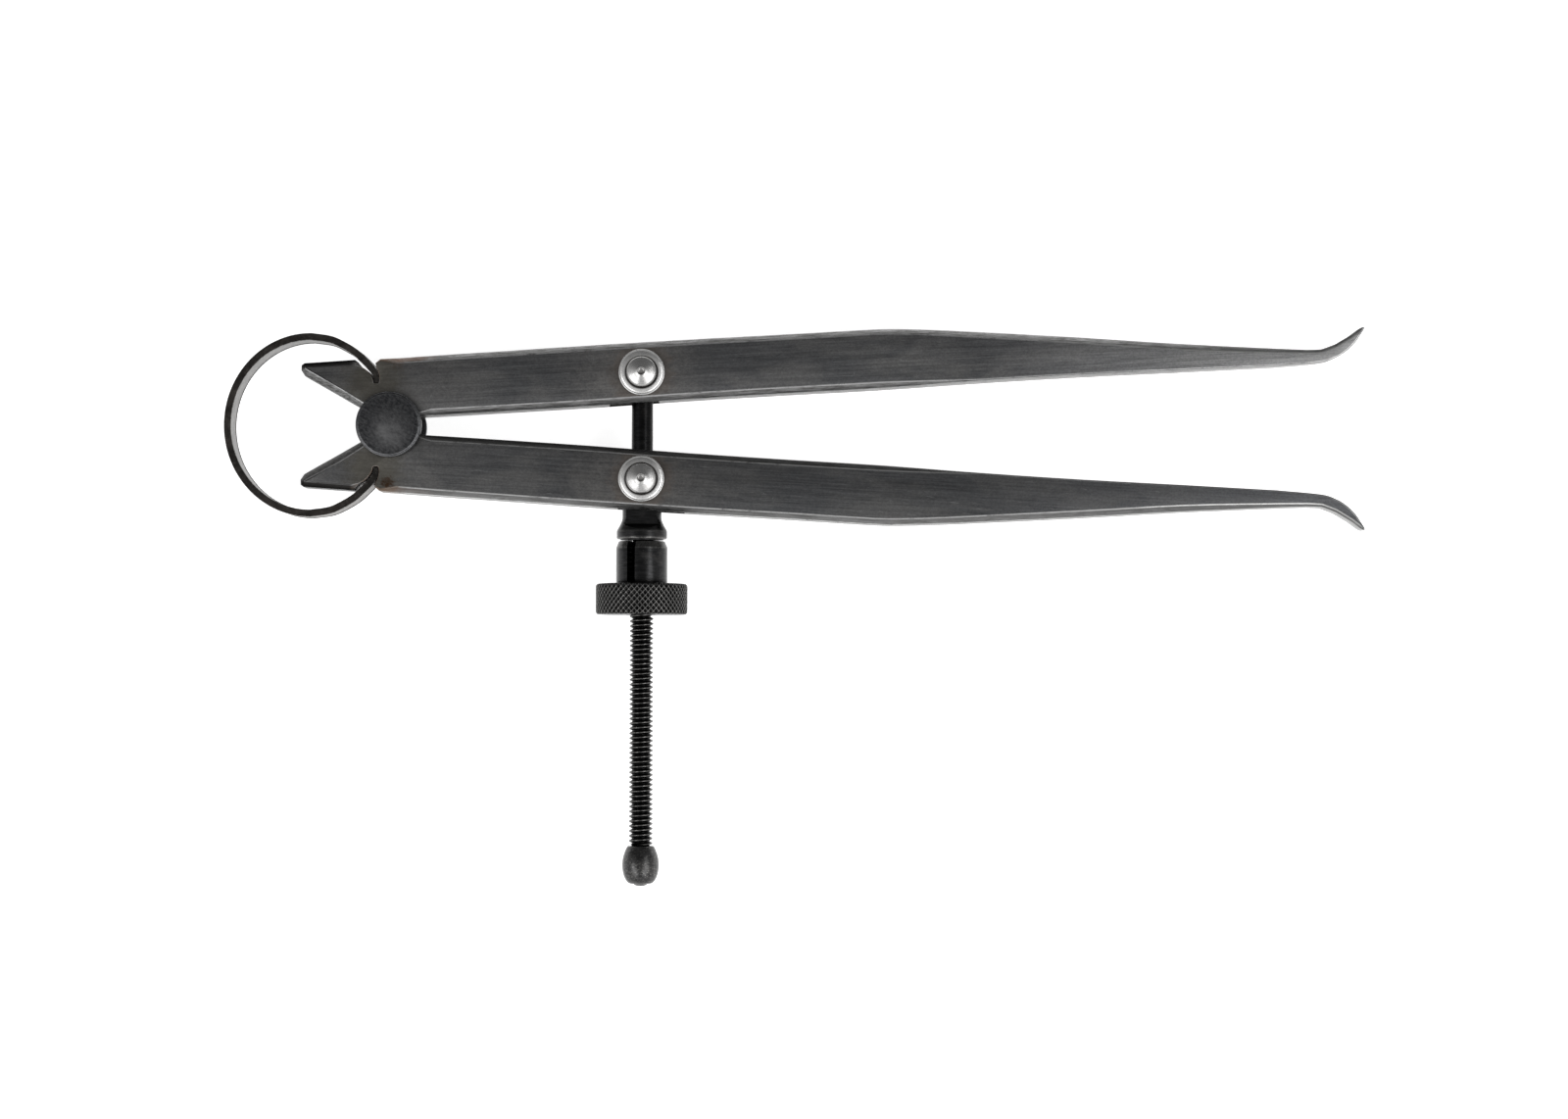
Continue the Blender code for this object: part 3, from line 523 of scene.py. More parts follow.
def simple_prism(points, low, high):
    bm = bmesh.new()
    a = [bm.verts.new((x, y, low)) for x, y in points]
    b = [bm.verts.new((x, y, high)) for x, y in points]
    bm.faces.new(list(reversed(a)))
    bm.faces.new(b)
    n = len(points)
    for i in range(n):
        bm.faces.new((a[i], a[(i + 1) % n], b[(i + 1) % n], b[i]))
    bmesh.ops.recalc_face_normals(bm, faces=bm.faces)
    return bm


def box(sx, sy, sz, centre=(0, 0, 0)):
    bm = bmesh.new()
    bmesh.ops.create_cube(bm, size=1.0)
    bmesh.ops.scale(bm, vec=(sx, sy, sz), verts=bm.verts)
    bmesh.ops.translate(bm, vec=centre, verts=bm.verts)
    return bm


def carve(obj, tools, material=None):
    """Cut bmeshes (in pattern millimetres, already in place) out of an object, for good."""
    if material is not None:
        obj.data.materials.append(material)
    index = len(obj.data.materials) - 1
    for bm in tools:
        bmesh.ops.scale(bm, vec=(MM, MM, MM), verts=bm.verts)
        bmesh.ops.recalc_face_normals(bm, faces=bm.faces)
        mesh = bpy.data.meshes.new("tool")
        bm.to_mesh(mesh)
        bm.free()
        if material is not None:
            for m in obj.data.materials:
                mesh.materials.append(m)
            for face in mesh.polygons:
                face.material_index = index
        tool = bpy.data.objects.new("tool", mesh)
        bpy.context.scene.collection.objects.link(tool)
        m = obj.modifiers.new("cut", "BOOLEAN")
        m.operation = "DIFFERENCE"
        m.solver = "EXACT"
        m.object = tool
        bpy.context.view_layer.update()
        done = bpy.data.meshes.new_from_object(obj.evaluated_get(bpy.context.evaluated_depsgraph_get()))
        obj.modifiers.clear()
        name = obj.data.name
        obj.data = done
        done.name = name
        bpy.data.objects.remove(tool, do_unlink=True)
    obj.data.shade_smooth()
    obj.data.set_sharp_from_angle(angle=math.radians(30))


# ------------------------------------------------------------------------------------------------ legs

OUTER_EDGE = [
    (-1.6, 10.75), (6.8, 11.4), (16.4, 12.05), (32.4, 13.14), (48.4, 14.14), (64.4, 15.05), (76.0, 15.75),
    (81.2, 15.98), (88.0, 15.86), (96.4, 15.5), (112.4, 14.69), (128.4, 13.75), (144.4, 13.02), (149.4, 12.85),
    (151.8, 12.95), (154.0, 13.76), (156.4, 15.2), (158.0, 16.38),
]
INNER_EDGE = [
    (158.4, 15.7), (157.2, 13.92), (155.6, 12.43), (154.0, 11.52), (151.6, 10.8), (144.4, 10.16), (128.4, 9.33),
    (112.4, 8.54), (96.4, 7.54), (80.4, 6.31), (64.4, 5.38), (48.4, 4.37), (32.4, 3.22), (16.4, 2.21), (6.8, 1.64),
]
recess_r = STUD_R + GAP
RECESS = [
    (recess_r * math.cos(math.radians(a)), recess_r * math.sin(math.radians(a)))
    for a in [24 + 4.5 * k for k in range(29)]
]
EAR = [(-13.9, 7.95), (-14.5, 8.9), (-14.45, 9.75), (-14.0, 10.1), (-5.75, 10.66)]
# the slot follows the spring's end more closely here than in the CAD, where it keeps the running clearance
NOTCH = [
    (-4.95, 9.62), (-3.95, 9.05), (-3.08, 8.12), (-2.72, 7.4), (-2.62, 6.88), (-2.2, 6.76), (-1.78, 6.9), (-1.70, 7.7),
    (-1.86, 8.6), (-2.15, 9.3), (-2.35, 10.05),
]


def ramp(x, start, end):
    t = max(0.0, min(1.0, (x - start) / (end - start)))
    return t * t * (3 - 2 * t)


def thickness_share(x):
    t = max(0.0, min(1.0, (x - TAPER_FROM) / (TIP_X - TAPER_FROM)))
    return 1.0 - (1.0 - TIP_T / LEG_T) * t**1.2


def leg_stations(side):
    """The outline's points with the bevel's width at each."""
    out = []

    def outer_width(x, y):
        wide = CHAMFER + (WIDE_CHAMFER - CHAMFER) * ramp(x, 78, 104)
        return wide - (WIDE_CHAMFER - 0.45) * ramp(x, 126, 157)

    def inner_width(x, y):
        return 0.18 + (CHAMFER - 0.18) * (1 - ramp(x, 78, 98))

    straight = catmull(OUTER_EDGE[:14], 3)
    bend = [(149.4, 12.85), (150.7, 12.88), (151.7, 12.93), (152.3, 13.12)] + OUTER_EDGE[15:]
    for x, y in straight[:-1] + bend:
        out.append((x, y, 0.3 if x < -1.5 else outer_width(x, y)))
    out.append((158.55, 16.62, 0.3))
    out.append((158.8, 16.55, 0.2))
    out.append((158.72, 16.2, 0.2))
    for x, y in catmull(INNER_EDGE[:6], 4)[:-1] + catmull(INNER_EDGE[5:], 3):
        out.append((x, y, inner_width(x, y)))
    for x, y in RECESS:
        out.append((x, y, 0.1))
    a, b = Vector(RECESS[-1]), Vector(EAR[0])
    ear = EAR_CHAMFER if side > 0 else 1.2
    out.append((*a.lerp(b, 0.06), 0.9))
    out.append((*a.lerp(b, 0.5), ear))
    widths = [EAR_CHAMFER, 0.8, 0.75, 0.85, 0.8]
    for (x, y), c in zip(EAR, widths):
        out.append((x, y, c))
    for x, y in catmull(NOTCH, 2):
        out.append((x, y, 0.1))
    return out


def leg_mesh(side):
    stations = leg_stations(side)
    if side > 0:
        stations = stations[::-1]
    else:
        stations = [(x, -y, c) for x, y, c in stations]
    n = len(stations)
    inward = []
    for i, (x, y, c) in enumerate(stations):
        here = Vector((x, y))
        d1 = (here - Vector(stations[i - 1][:2])).normalized()
        d2 = (Vector(stations[(i + 1) % n][:2]) - here).normalized()
        n1, n2 = Vector((-d1.y, d1.x)), Vector((-d2.y, d2.x))
        inward.append((n1 + n2) / max(0.4, 1 + n1.dot(n2)))

    def profile(c):
        m = min(0.13, c / 3)
        return [(c + m, 0), (c + 0.1 * m, 0.18 * m), (c - 0.7 * m, 0.7 * m),
                (0.7 * m, c - 0.7 * m), (0.18 * m, c + 0.1 * m), (0, c + m)]

    bm = bmesh.new()
    half = LEG_T / 2
    rings = []
    for level in range(12):
        ring = []
        for i, (x, y, c) in enumerate(stations):
            inset, depth = profile(c)[level if level < 6 else 11 - level]
            z = -half + depth if level < 6 else half - depth
            ring.append(bm.verts.new((x + inward[i].x * inset, y + inward[i].y * inset, z)))
        rings.append(ring)
    bm.faces.new(list(reversed(rings[0]))).material_index = 0
    bm.faces.new(rings[-1]).material_index = 0
    kinds = [1, 1, 2, 1, 1, 3, 1, 1, 2, 1, 1]
    for a, b, kind in zip(rings, rings[1:], kinds):
        for i in range(n):
            j = (i + 1) % n
            face = bm.faces.new((a[i], a[j], b[j], b[i]))
            face.material_index = kind
    # cross cuts keep the taper smooth
    for x in [8 * k for k in range(1, 13)] + [100 + 2 * k for k in range(1, 29)]:
        bmesh.ops.bisect_plane(
            bm, geom=list(bm.verts) + list(bm.edges) + list(bm.faces), dist=1e-5, plane_co=(x, 0, 0), plane_no=(1, 0, 0)
        )
    for v in bm.verts:
        v.co.z *= thickness_share(v.co.x)
    return bm


def slot_path(side, along, half_width):
    centre = Vector((PIN_X, side * PIN_Y))

    def way(deg):
        a = math.radians(deg)
        return Vector((-math.sin(a) * along, -side * math.cos(a) * along))

    shut, wide = way(-CLOSE_DEG - 1.0), way(OPEN_DEG + 1.0)
    out_shut = Vector((shut.y, -shut.x))
    if out_shut.dot(wide) > 0:
        out_shut = -out_shut
    out_wide = Vector((wide.y, -wide.x))
    if out_wide.dot(shut) > 0:
        out_wide = -out_wide
    return [
        tuple(centre + out_shut * half_width - shut * 2),
        tuple(centre + out_shut * half_width + shut * 9),
        tuple(centre + out_wide * half_width + wide * 9),
        tuple(centre + out_wide * half_width - wide * 2),
    ]


milled = leg_cut()
for side, name in ((1, "upper_leg"), (-1, "lower_leg")):
    skins = [leg_flat(side), leg_rim(side), leg_edge(side), leg_wall(side)]
    leg = place(f"{name}_blade", leg_mesh(side), skins, None, sharp=16, at=(0, 0, MID))
    hole = lathe([(0, -8), (PIN_R + GAP, -8), (PIN_R + GAP, 8), (0, 8)], 72)
    bmesh.ops.translate(hole, vec=(PIN_X, side * PIN_Y, MID), verts=hole.verts)
    slot = simple_prism(slot_path(side, 1, BORE_R + 0.1), -SLOT_H / 2, SLOT_H / 2)
    bmesh.ops.translate(slot, vec=(0, 0, MID), verts=slot.verts)
    tools = [hole, slot]
    if side < 0:
        beyond = simple_prism(slot_path(-1, -1, NECK_R + GAP + 0.03), -SLOT_H / 2, SLOT_H / 2)
        bmesh.ops.translate(beyond, vec=(0, 0, MID), verts=beyond.verts)
        tools.append(beyond)
    carve(leg, tools, milled)
    leg.data.set_sharp_from_angle(angle=math.radians(20))
    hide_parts(name)
    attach(leg, name)

# ------------------------------------------------------------------------------------------------ bow spring


def bow_line(fine):
    crown = [
        (BOW_X - BOW_RX * math.sin(a), BOW_RY * math.cos(a))
        for a in [math.radians(90 - 1.5 * k) for k in range(58)]
    ]
    hook = [
        (BOW_X, BOW_RY), (-9.8, 13.95), (-7.7, 13.05), (-5.65, 11.8), (-4.1, 10.4), (-3.1, 9.35), (-2.45, 8.4),
        (-2.2, 7.6), (-2.2, 6.9),
    ]
    return crown + catmull(hook, fine)


edge_face = spring_finish("spring_edge", (0.030, 0.028, 0.026), (0.062, 0.056, 0.052), 0.30)
inner_face = spring_finish("spring_inner", (0.055, 0.053, 0.051), (0.13, 0.127, 0.122), 0.60, 0.50)
outer_face = spring_finish("spring_outer", (0.060, 0.055, 0.050), (0.125, 0.115, 0.105), 0.45, 0.15)
ridge_face = spring_finish("spring_ridge", (0.09, 0.088, 0.084), (0.20, 0.195, 0.19), 0.65, 0.55)


def strip_mesh(side):
    """Half of the strip, swept along its middle line with rounded corners."""
    line = bow_line(8)
    if side < 0:
        line = [(x, -y) for x, y in line]
    bm = bmesh.new()
    rows = []
    c = 0.08
    for i, (x, y) in enumerate(line):
        a = Vector(line[max(0, i - 1)])
        b = Vector(line[min(len(line) - 1, i + 1)])
        d = (b - a).normalized()
        if i == 0:
            d = Vector((0, side))
        out = Vector((-d.y, d.x)) * side
        near_end = max(0.0, min(1.0, (9.6 - abs(y)) / 2.7)) if x > -5 else 0.0
        t = (STRIP_T - 0.5 * near_end) / 2
        w = STRIP_W / 2
        # corners: inner side first, then over the front edge to the outer side and back along the rear edge
        rim = []
        for su, sz in ((-1, -1), (-1, 1), (1, 1), (1, -1)):
            turn = [(0.0, 1.0), (0.3, 0.3), (1.0, 0.0)] if su * sz > 0 else [(1.0, 0.0), (0.3, 0.3), (0.0, 1.0)]
            for pu, pz in turn:
                rim.append((su * (t - c * pu), sz * (w - c * pz)))
        row = []
        for u, z in rim:
            row.append(bm.verts.new((x + out.x * u, y + out.y * u, z)))
        rows.append(row)
    count = len(rows[0])
    # which material each side of the section takes
    for a, b in zip(rows, rows[1:]):
        for k in range(count):
            j = (k + 1) % count
            face = bm.faces.new((a[k], a[j], b[j], b[k]))
            face.material_index = {0: 1, 1: 1, 2: 1, 5: 0, 8: 2, 11: 0}.get(k, 3)
    end = bm.faces.new(rows[-1])
    end.material_index = 0
    return bm


for side, leg in ((1, "upper_leg"), (-1, "lower_leg")):
    half = place(
        f"bow_spring_{'upper' if side > 0 else 'lower'}_half", strip_mesh(side),
        [edge_face, inner_face, outer_face, ridge_face], None, at=(0, 0, MID), sharp=40,
    )
    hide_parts("bow_spring")
    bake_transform(half)

# ------------------------------------------------------------------------------------------------ fulcrum stud

h = LEG_T / 2 + GAP
R, T = STUD_HEAD_R, STUD_HEAD_T
stud = [(0, -h - T), (R * 0.55, -h - T)]
marks = [0.0, 0.0]
for r, z in arc(R - 0.45, -h - T + 0.45, 0.45, -90, 0, 6):
    stud.append((r, z))
    marks.append(0.5)
stud += [(R, -h - 0.08), (R - 0.08, -h), (STUD_R + 0.1, -h), (STUD_R, -h + 0.1), (STUD_R, h - 0.1), (STUD_R + 0.1, h), (R - 0.08, h), (R, h + 0.08)]
marks += [0.3, 0.3, 0, 0, 0, 0, 0.2, 0.2]
top_rim = [
    (R, h + T - 0.40, 0.0), (R - 0.02, h + T - 0.30, 0.1), (R - 0.08, h + T - 0.18, 0.25), (R - 0.16, h + T - 0.10, 0.25),
    (R - 0.25, h + T - 0.07, 0.0), (R - 0.33, h + T - 0.065, 0.0), (R - 0.37, h + T - 0.03, 0.2),
    (R - 0.42, h + T - 0.0, 0.30), (R - 0.48, h + T + 0.01, 0.10), (R - 0.60, h + T + 0.01, 0.0),
    (R - 0.80, h + T + 0.015, 0.0), (R * 0.62, h + T + 0.08, 0.0),
    (R * 0.4, h + T + 0.125, 0.0), (R * 0.2, h + T + 0.15, 0.0), (0, h + T + 0.16, 0.0),
]
for r, z, m in top_rim:
    stud.append((r, z))
    marks.append(m)
place("fulcrum_stud_turned", lathe(stud, 128, marks), [stud_finish()], "frame", ["fulcrum_stud"], at=(0, 0, MID), sharp=42)

# ------------------------------------------------------------------------------------------------ swivel pins

top = LEG_T / 2
under = top + GAP + WASHER_T + GAP


def pin_shape():
    """Half of the riveted pin from its middle to the crown: a conical crown with a punched dimple."""
    peak = under + RIVET_H
    body = [
        (PIN_R, 0, 0.3), (PIN_R, top - 0.15, 0.3), (PIN_R - 0.12, top, 0.3), (SPIGOT_R, top, 0.8), (SPIGOT_R, under, 1.0),
        (RIVET_R - 0.20, under, 1.0), (RIVET_R - 0.10, under + 0.04, 1.0), (RIVET_R - 0.07, under + 0.12, 1.0),
        (RIVET_R - 0.12, under + 0.24, 0.45), (RIVET_R - 0.25, under + 0.38, 0.05), (RIVET_R - 0.45, under + 0.50, 0.0),
        (1.60, under + 0.70, 0.0), (1.1, under + 0.93, 0.0), (0.86, peak - 0.08, 0.0), (0.72, peak - 0.03, 0.0),
        (0.66, peak, 0.0), (0.58, peak - 0.02, 0.05), (0.52, peak - 0.10, 0.40), (0.42, peak - 0.17, 0.50),
        (0.20, peak - 0.20, 0.25), (0, peak - 0.21, 0.15),
    ]
    return body


def pin_piece(side):
    half = pin_shape()
    low = [(r, -z, m) for r, z, m in reversed(half[1:])]
    full = low + half[1:]
    return lathe([(r, z) for r, z, m in full], 96, [m for r, z, m in full], "grime")


def washer_piece(face):
    inner = SPIGOT_R + GAP
    t = WASHER_T
    ring = [
        (inner, 0.02, 0.9), (WASHER_R - 0.1, 0.0, 0.9), (WASHER_R, 0.1, 0.8), (WASHER_R, t * 0.55, 0.35),
        (WASHER_R - 0.03, t * 0.62, 0.10), (WASHER_R - 0.12, t * 0.71, 0.0), (WASHER_R - 0.20, t * 0.72, 0.0),
        (WASHER_R - 0.26, t * 0.69, 0.15), (WASHER_R - 0.32, t * 0.69, 0.25), (WASHER_R - 0.40, t * 0.76, 0.0),
        (WASHER_R - 0.6, t * 0.82, 0.0), (WASHER_R - 0.85, t * 0.89, 0.0), (WASHER_R - 1.0, t * 0.93, 0.15),
        (WASHER_R - 1.08, t * 0.90, 0.6), (WASHER_R - 1.2, t * 0.86, 0.9), (inner + 0.06, t * 0.86, 1.0),
        (inner, t * 0.7, 1.0), (inner, 0.02, 0.9),
    ]
    if face == "rear":
        ring = [(r, t - z, m) for r, z, m in ring]
    marks = [m for r, z, m in ring[:-1]]
    return lathe([(r, z) for r, z, m in ring], 96, marks, "grime")


for side, name, body, which in ((1, "screw_anchor_pin", "screw", "upper"), (-1, "nut_swivel_pin", "swivel", "lower")):
    at = (PIN_X, side * PIN_Y, MID)
    steel = bright_finish(f"rivet_steel_{which}", (PIN_X, side * PIN_Y, 0), 0.50, 0.20 if side > 0 else 0.26, 0.30)
    plate = bright_finish(f"washer_steel_{which}", (PIN_X, side * PIN_Y, 0), 0.72, 0.26, 0.25)
    pin = place(f"{name}_riveted", pin_piece(side), [steel], None, at=at, sharp=50)
    bore = lathe([(0, -6), (BORE_R, -6), (BORE_R, 6), (0, 6)], 48)
    bmesh.ops.transform(bore, matrix=Matrix.Translation(Vector(at)) @ ALONG_SCREW, verts=bore.verts)
    carve(pin, [bore])
    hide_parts(name)
    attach(pin, body)
    for face, z in (("front", top + GAP), ("rear", -top - GAP - WASHER_T)):
        place(f"pin_washer_{which}_{face}_turned", washer_piece(face), [plate], body, [f"pin_washer_{which}_{face}"],
              at=(at[0], at[1], MID + z), sharp=50)

# ------------------------------------------------------------------------------------------------ adjusting screw

SIDES = 48
KNOB_FROM, KNOB_TO, KNOB_R = 77.0, 83.1, 2.97


def screw_mesh():
    """A plain shank and a V thread as one grid of rings; each ring's radius follows the helix."""
    bm = bmesh.new()
    wear = bm.verts.layers.float.new("rubbed")
    crest, root = 0.20 * PITCH, 0.12 * PITCH
    flank = (PITCH - crest - root) / 2

    def thread(u):
        """Height share of the thread at a place u within one pitch."""
        u = u % PITCH
        for length, a, b in ((flank, 0, 1), (crest, 1, 1), (flank, 1, 0), (root, 0, 0)):
            if u < length:
                return a + (b - a) * u / length
            u -= length
        return 0.0

    start_z, end_z = THREAD_FROM - 0.4, KNOB_FROM - 0.12
    knob_r = 1.2
    rows = []

    def ring(radii, zs, marks):
        row = []
        for k in range(SIDES):
            a = 2 * math.pi * k / SIDES
            v = bm.verts.new((radii[k] * math.cos(a), radii[k] * math.sin(a), zs[k]))
            v[wear] = marks[k]
            row.append(v)
        rows.append(row)

    flat = lambda r, z, m=0.0: ring([r] * SIDES, [z] * SIDES, [m] * SIDES)
    flat(SHANK_R - 0.3, SCREW_BACK, 0.2)
    flat(SHANK_R - 0.08, SCREW_BACK + 0.08, 0.3)
    flat(SHANK_R, SCREW_BACK + 0.3, 0.3)
    for k in range(1, 12):
        flat(SHANK_R, SCREW_BACK + 0.3 + (THREAD_FROM - 1.2 - SCREW_BACK) * k / 12)
    flat(SHANK_R, start_z - 0.4)
    per = 14
    steps = int((end_z - start_z) / PITCH * per)
    for i in range(steps + 1):
        radii, zs, marks = [], [], []
        z = start_z + (end_z - start_z) * i / steps
        fade = min(1.0, i / per, (steps - i) / 3)
        for k in range(SIDES):
            share = thread(z - PITCH * k / SIDES)
            sharp = share * share * (3 - 2 * share) * 0.15 + share * 0.85
            r = MINOR_R + (MAJOR_R - MINOR_R) * sharp * fade
            radii.append(r)
            zs.append(z)
            marks.append(max(0.0, (share - 0.93) / 0.07) * 0.50 * fade)
        ring(radii, zs, marks)
    flat(MINOR_R - 0.02, end_z + 0.1)
    flat(knob_r, end_z + 0.2)
    flat(knob_r, SCREW_END - 0.55, 0.3)
    flat(knob_r - 0.10, SCREW_END - 0.30, 0.6)
    flat(knob_r - 0.45, SCREW_END - 0.10, 0.5)
    first = bm.verts.new((0, 0, SCREW_BACK))
    last = bm.verts.new((0, 0, SCREW_END))
    last[wear] = 0.4
    for a, b in zip(rows, rows[1:]):
        for k in range(SIDES):
            j = (k + 1) % SIDES
            bm.faces.new((a[k], a[j], b[j], b[k]))
    for k in range(SIDES):
        j = (k + 1) % SIDES
        bm.faces.new((rows[0][j], rows[0][k], first))
        bm.faces.new((rows[-1][k], rows[-1][j], last))
    return bm


screw_at = (PIN_X, PIN_Y, MID)
place("adjusting_screw_rolled", screw_mesh(), [black_oxide("screw_black", 0.38, 0.24)], "screw", ["adjusting_screw"],
      at=screw_at, turn=ALONG_SCREW, sharp=60)

barrel = catmull(
    [(2.08, 0.0), (2.24, 0.03), (2.60, 0.16), (2.88, 0.31), (2.985, 0.46), (2.95, 0.62), (2.76, 0.77), (2.48, 0.88),
     (2.22, 0.945), (1.94, 0.985), (1.7, 1.0)], 5)
knob = [(1.2 + GAP, KNOB_FROM)] + [(r, KNOB_FROM + (KNOB_TO - KNOB_FROM) * t) for r, t in barrel]
knob_marks = [0.0] + [0.10] * len(barrel)
knob += [(1.2 + GAP, KNOB_TO), (1.2 + GAP, KNOB_FROM)]
knob_marks += [0.2]
place("screw_end_knob_turned", lathe(knob, 96, knob_marks), [black_oxide("knob_grey", 1.35, 0.28, scratch=0.9, fleck=0.55)], "screw",
      ["screw_end_knob"], at=screw_at, turn=ALONG_SCREW, sharp=45)

# ------------------------------------------------------------------------------------------------ cone washer

nut_at = (PIN_X, -PIN_Y, MID)
WASHER_END = JAW_FROM - GAP
washer = [
    (NECK_R, 0.6, 0), (NECK_R, 3.0, 0), (NECK_R, 5.6, 0), (NECK_R, 6.2, 0), (NECK_R + 0.03, 6.5, 0), (NECK_R + 0.12, 6.85, 0),
    (3.42, 7.1, 0), (3.58, 7.45, 0), (3.78, 7.8, 0), (3.98, 8.12, 0.0), (FLANGE_R - 0.04, 8.28, 0.12), (FLANGE_R, 8.42, 0.12),
    (FLANGE_R, 8.6, 0.0), (FLANGE_R, 9.2, 0.0), (FLANGE_R, WASHER_END - 0.24, 0.15), (FLANGE_R - 0.04, WASHER_END - 0.1, 0.6),
    (FLANGE_R - 0.16, WASHER_END, 0.5), (3.55, WASHER_END, 0), (3.5, JAW_FROM - 0.2, 0), (BORE_R, JAW_FROM - 0.2, 0),
    (BORE_R, 8.6, 0), (MAJOR_R + 0.02, 8.3, 0), (MAJOR_R + 0.02, 0.6, 0), (NECK_R, 0.6, 0),
]
oxide = black_oxide("nut_black", 0.85, 0.30)
cone = place("cone_washer_turned", lathe([(r, z) for r, z, m in washer], 96, [m for r, z, m in washer[:-1]]), [oxide], None,
             at=nut_at, turn=ALONG_SCREW, sharp=40)
flat_h = SLOT_H / 2 - GAP
tools = []
for face in (1, -1):
    # a flat that runs out in a slope under the flange
    bm = simple_prism([(-2.6, flat_h), (7.25, flat_h), (8.2, 4.3), (8.2, 6.0), (-2.6, 6.0)], -6, 6)
    bmesh.ops.transform(bm, matrix=Matrix(((0, 0, 1, 0), (0, face, 0, 0), (1, 0, 0, 0), (0, 0, 0, 1))), verts=bm.verts)
    bmesh.ops.transform(bm, matrix=Matrix.Translation(Vector(nut_at)) @ ALONG_SCREW, verts=bm.verts)
    tools.append(bm)
seat = lathe([(0, -8), (PIN_R + GAP, -8), (PIN_R + GAP, 8), (0, 8)], 64)
bmesh.ops.translate(seat, vec=nut_at, verts=seat.verts)
tools.append(seat)
carve(cone, tools)
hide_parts("cone_washer")
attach(cone, "thrust_washer")

# ------------------------------------------------------------------------------------------------ nut jaws

GROOVE, GROOVE_R = (17.6, 18.8), 3.35
shell = [
    (BORE_R, JAW_FROM, 0), (3.62, JAW_FROM, 0.3), (3.74, JAW_FROM + 0.05, 0.5), (3.80, JAW_FROM + 0.14, 0.3),
    (COLLAR_R - 0.06, JAW_FROM + 0.88, 0.2), (COLLAR_R, JAW_FROM + 1.02, 0.35), (COLLAR_R, JAW_FROM + 1.3, 0.0),
    (COLLAR_R, JAW_TO - 0.2, 0), (COLLAR_R - 0.1, JAW_TO, 0), (BORE_R, JAW_TO, 0), (BORE_R, GROOVE[1], 0),
    (GROOVE_R, GROOVE[1], 0), (GROOVE_R, GROOVE[0], 0), (BORE_R, GROOVE[0], 0), (BORE_R, JAW_FROM, 0),
]
jaw_black = black_oxide("jaw_black", 0.80, 0.24)
for sign, name in ((1, "nut_jaw_a"), (-1, "nut_jaw_b")):
    bm = lathe([(r, z) for r, z, m in shell], 96, [m for r, z, m in shell[:-1]])
    jaw = place(f"{name}_turned", bm, [jaw_black], None, at=nut_at, turn=ALONG_SCREW, sharp=40)
    block = box(12, 14, 20, (0, 0, 0))
    bmesh.ops.translate(block, vec=(-sign * (6 - SPLIT / 2), 0, (JAW_FROM + JAW_TO) / 2), verts=block.verts)
    bmesh.ops.rotate(block, cent=(0, 0, 0), matrix=Matrix.Rotation(SPLIT_TURN, 3, "Z"), verts=block.verts)
    bmesh.ops.transform(block, matrix=Matrix.Translation(Vector(nut_at)) @ ALONG_SCREW, verts=block.verts)
    carve(jaw, [block])
    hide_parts(name)
    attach(jaw, "jaw_a" if sign > 0 else "jaw_b")

# ------------------------------------------------------------------------------------------------ knurled ring


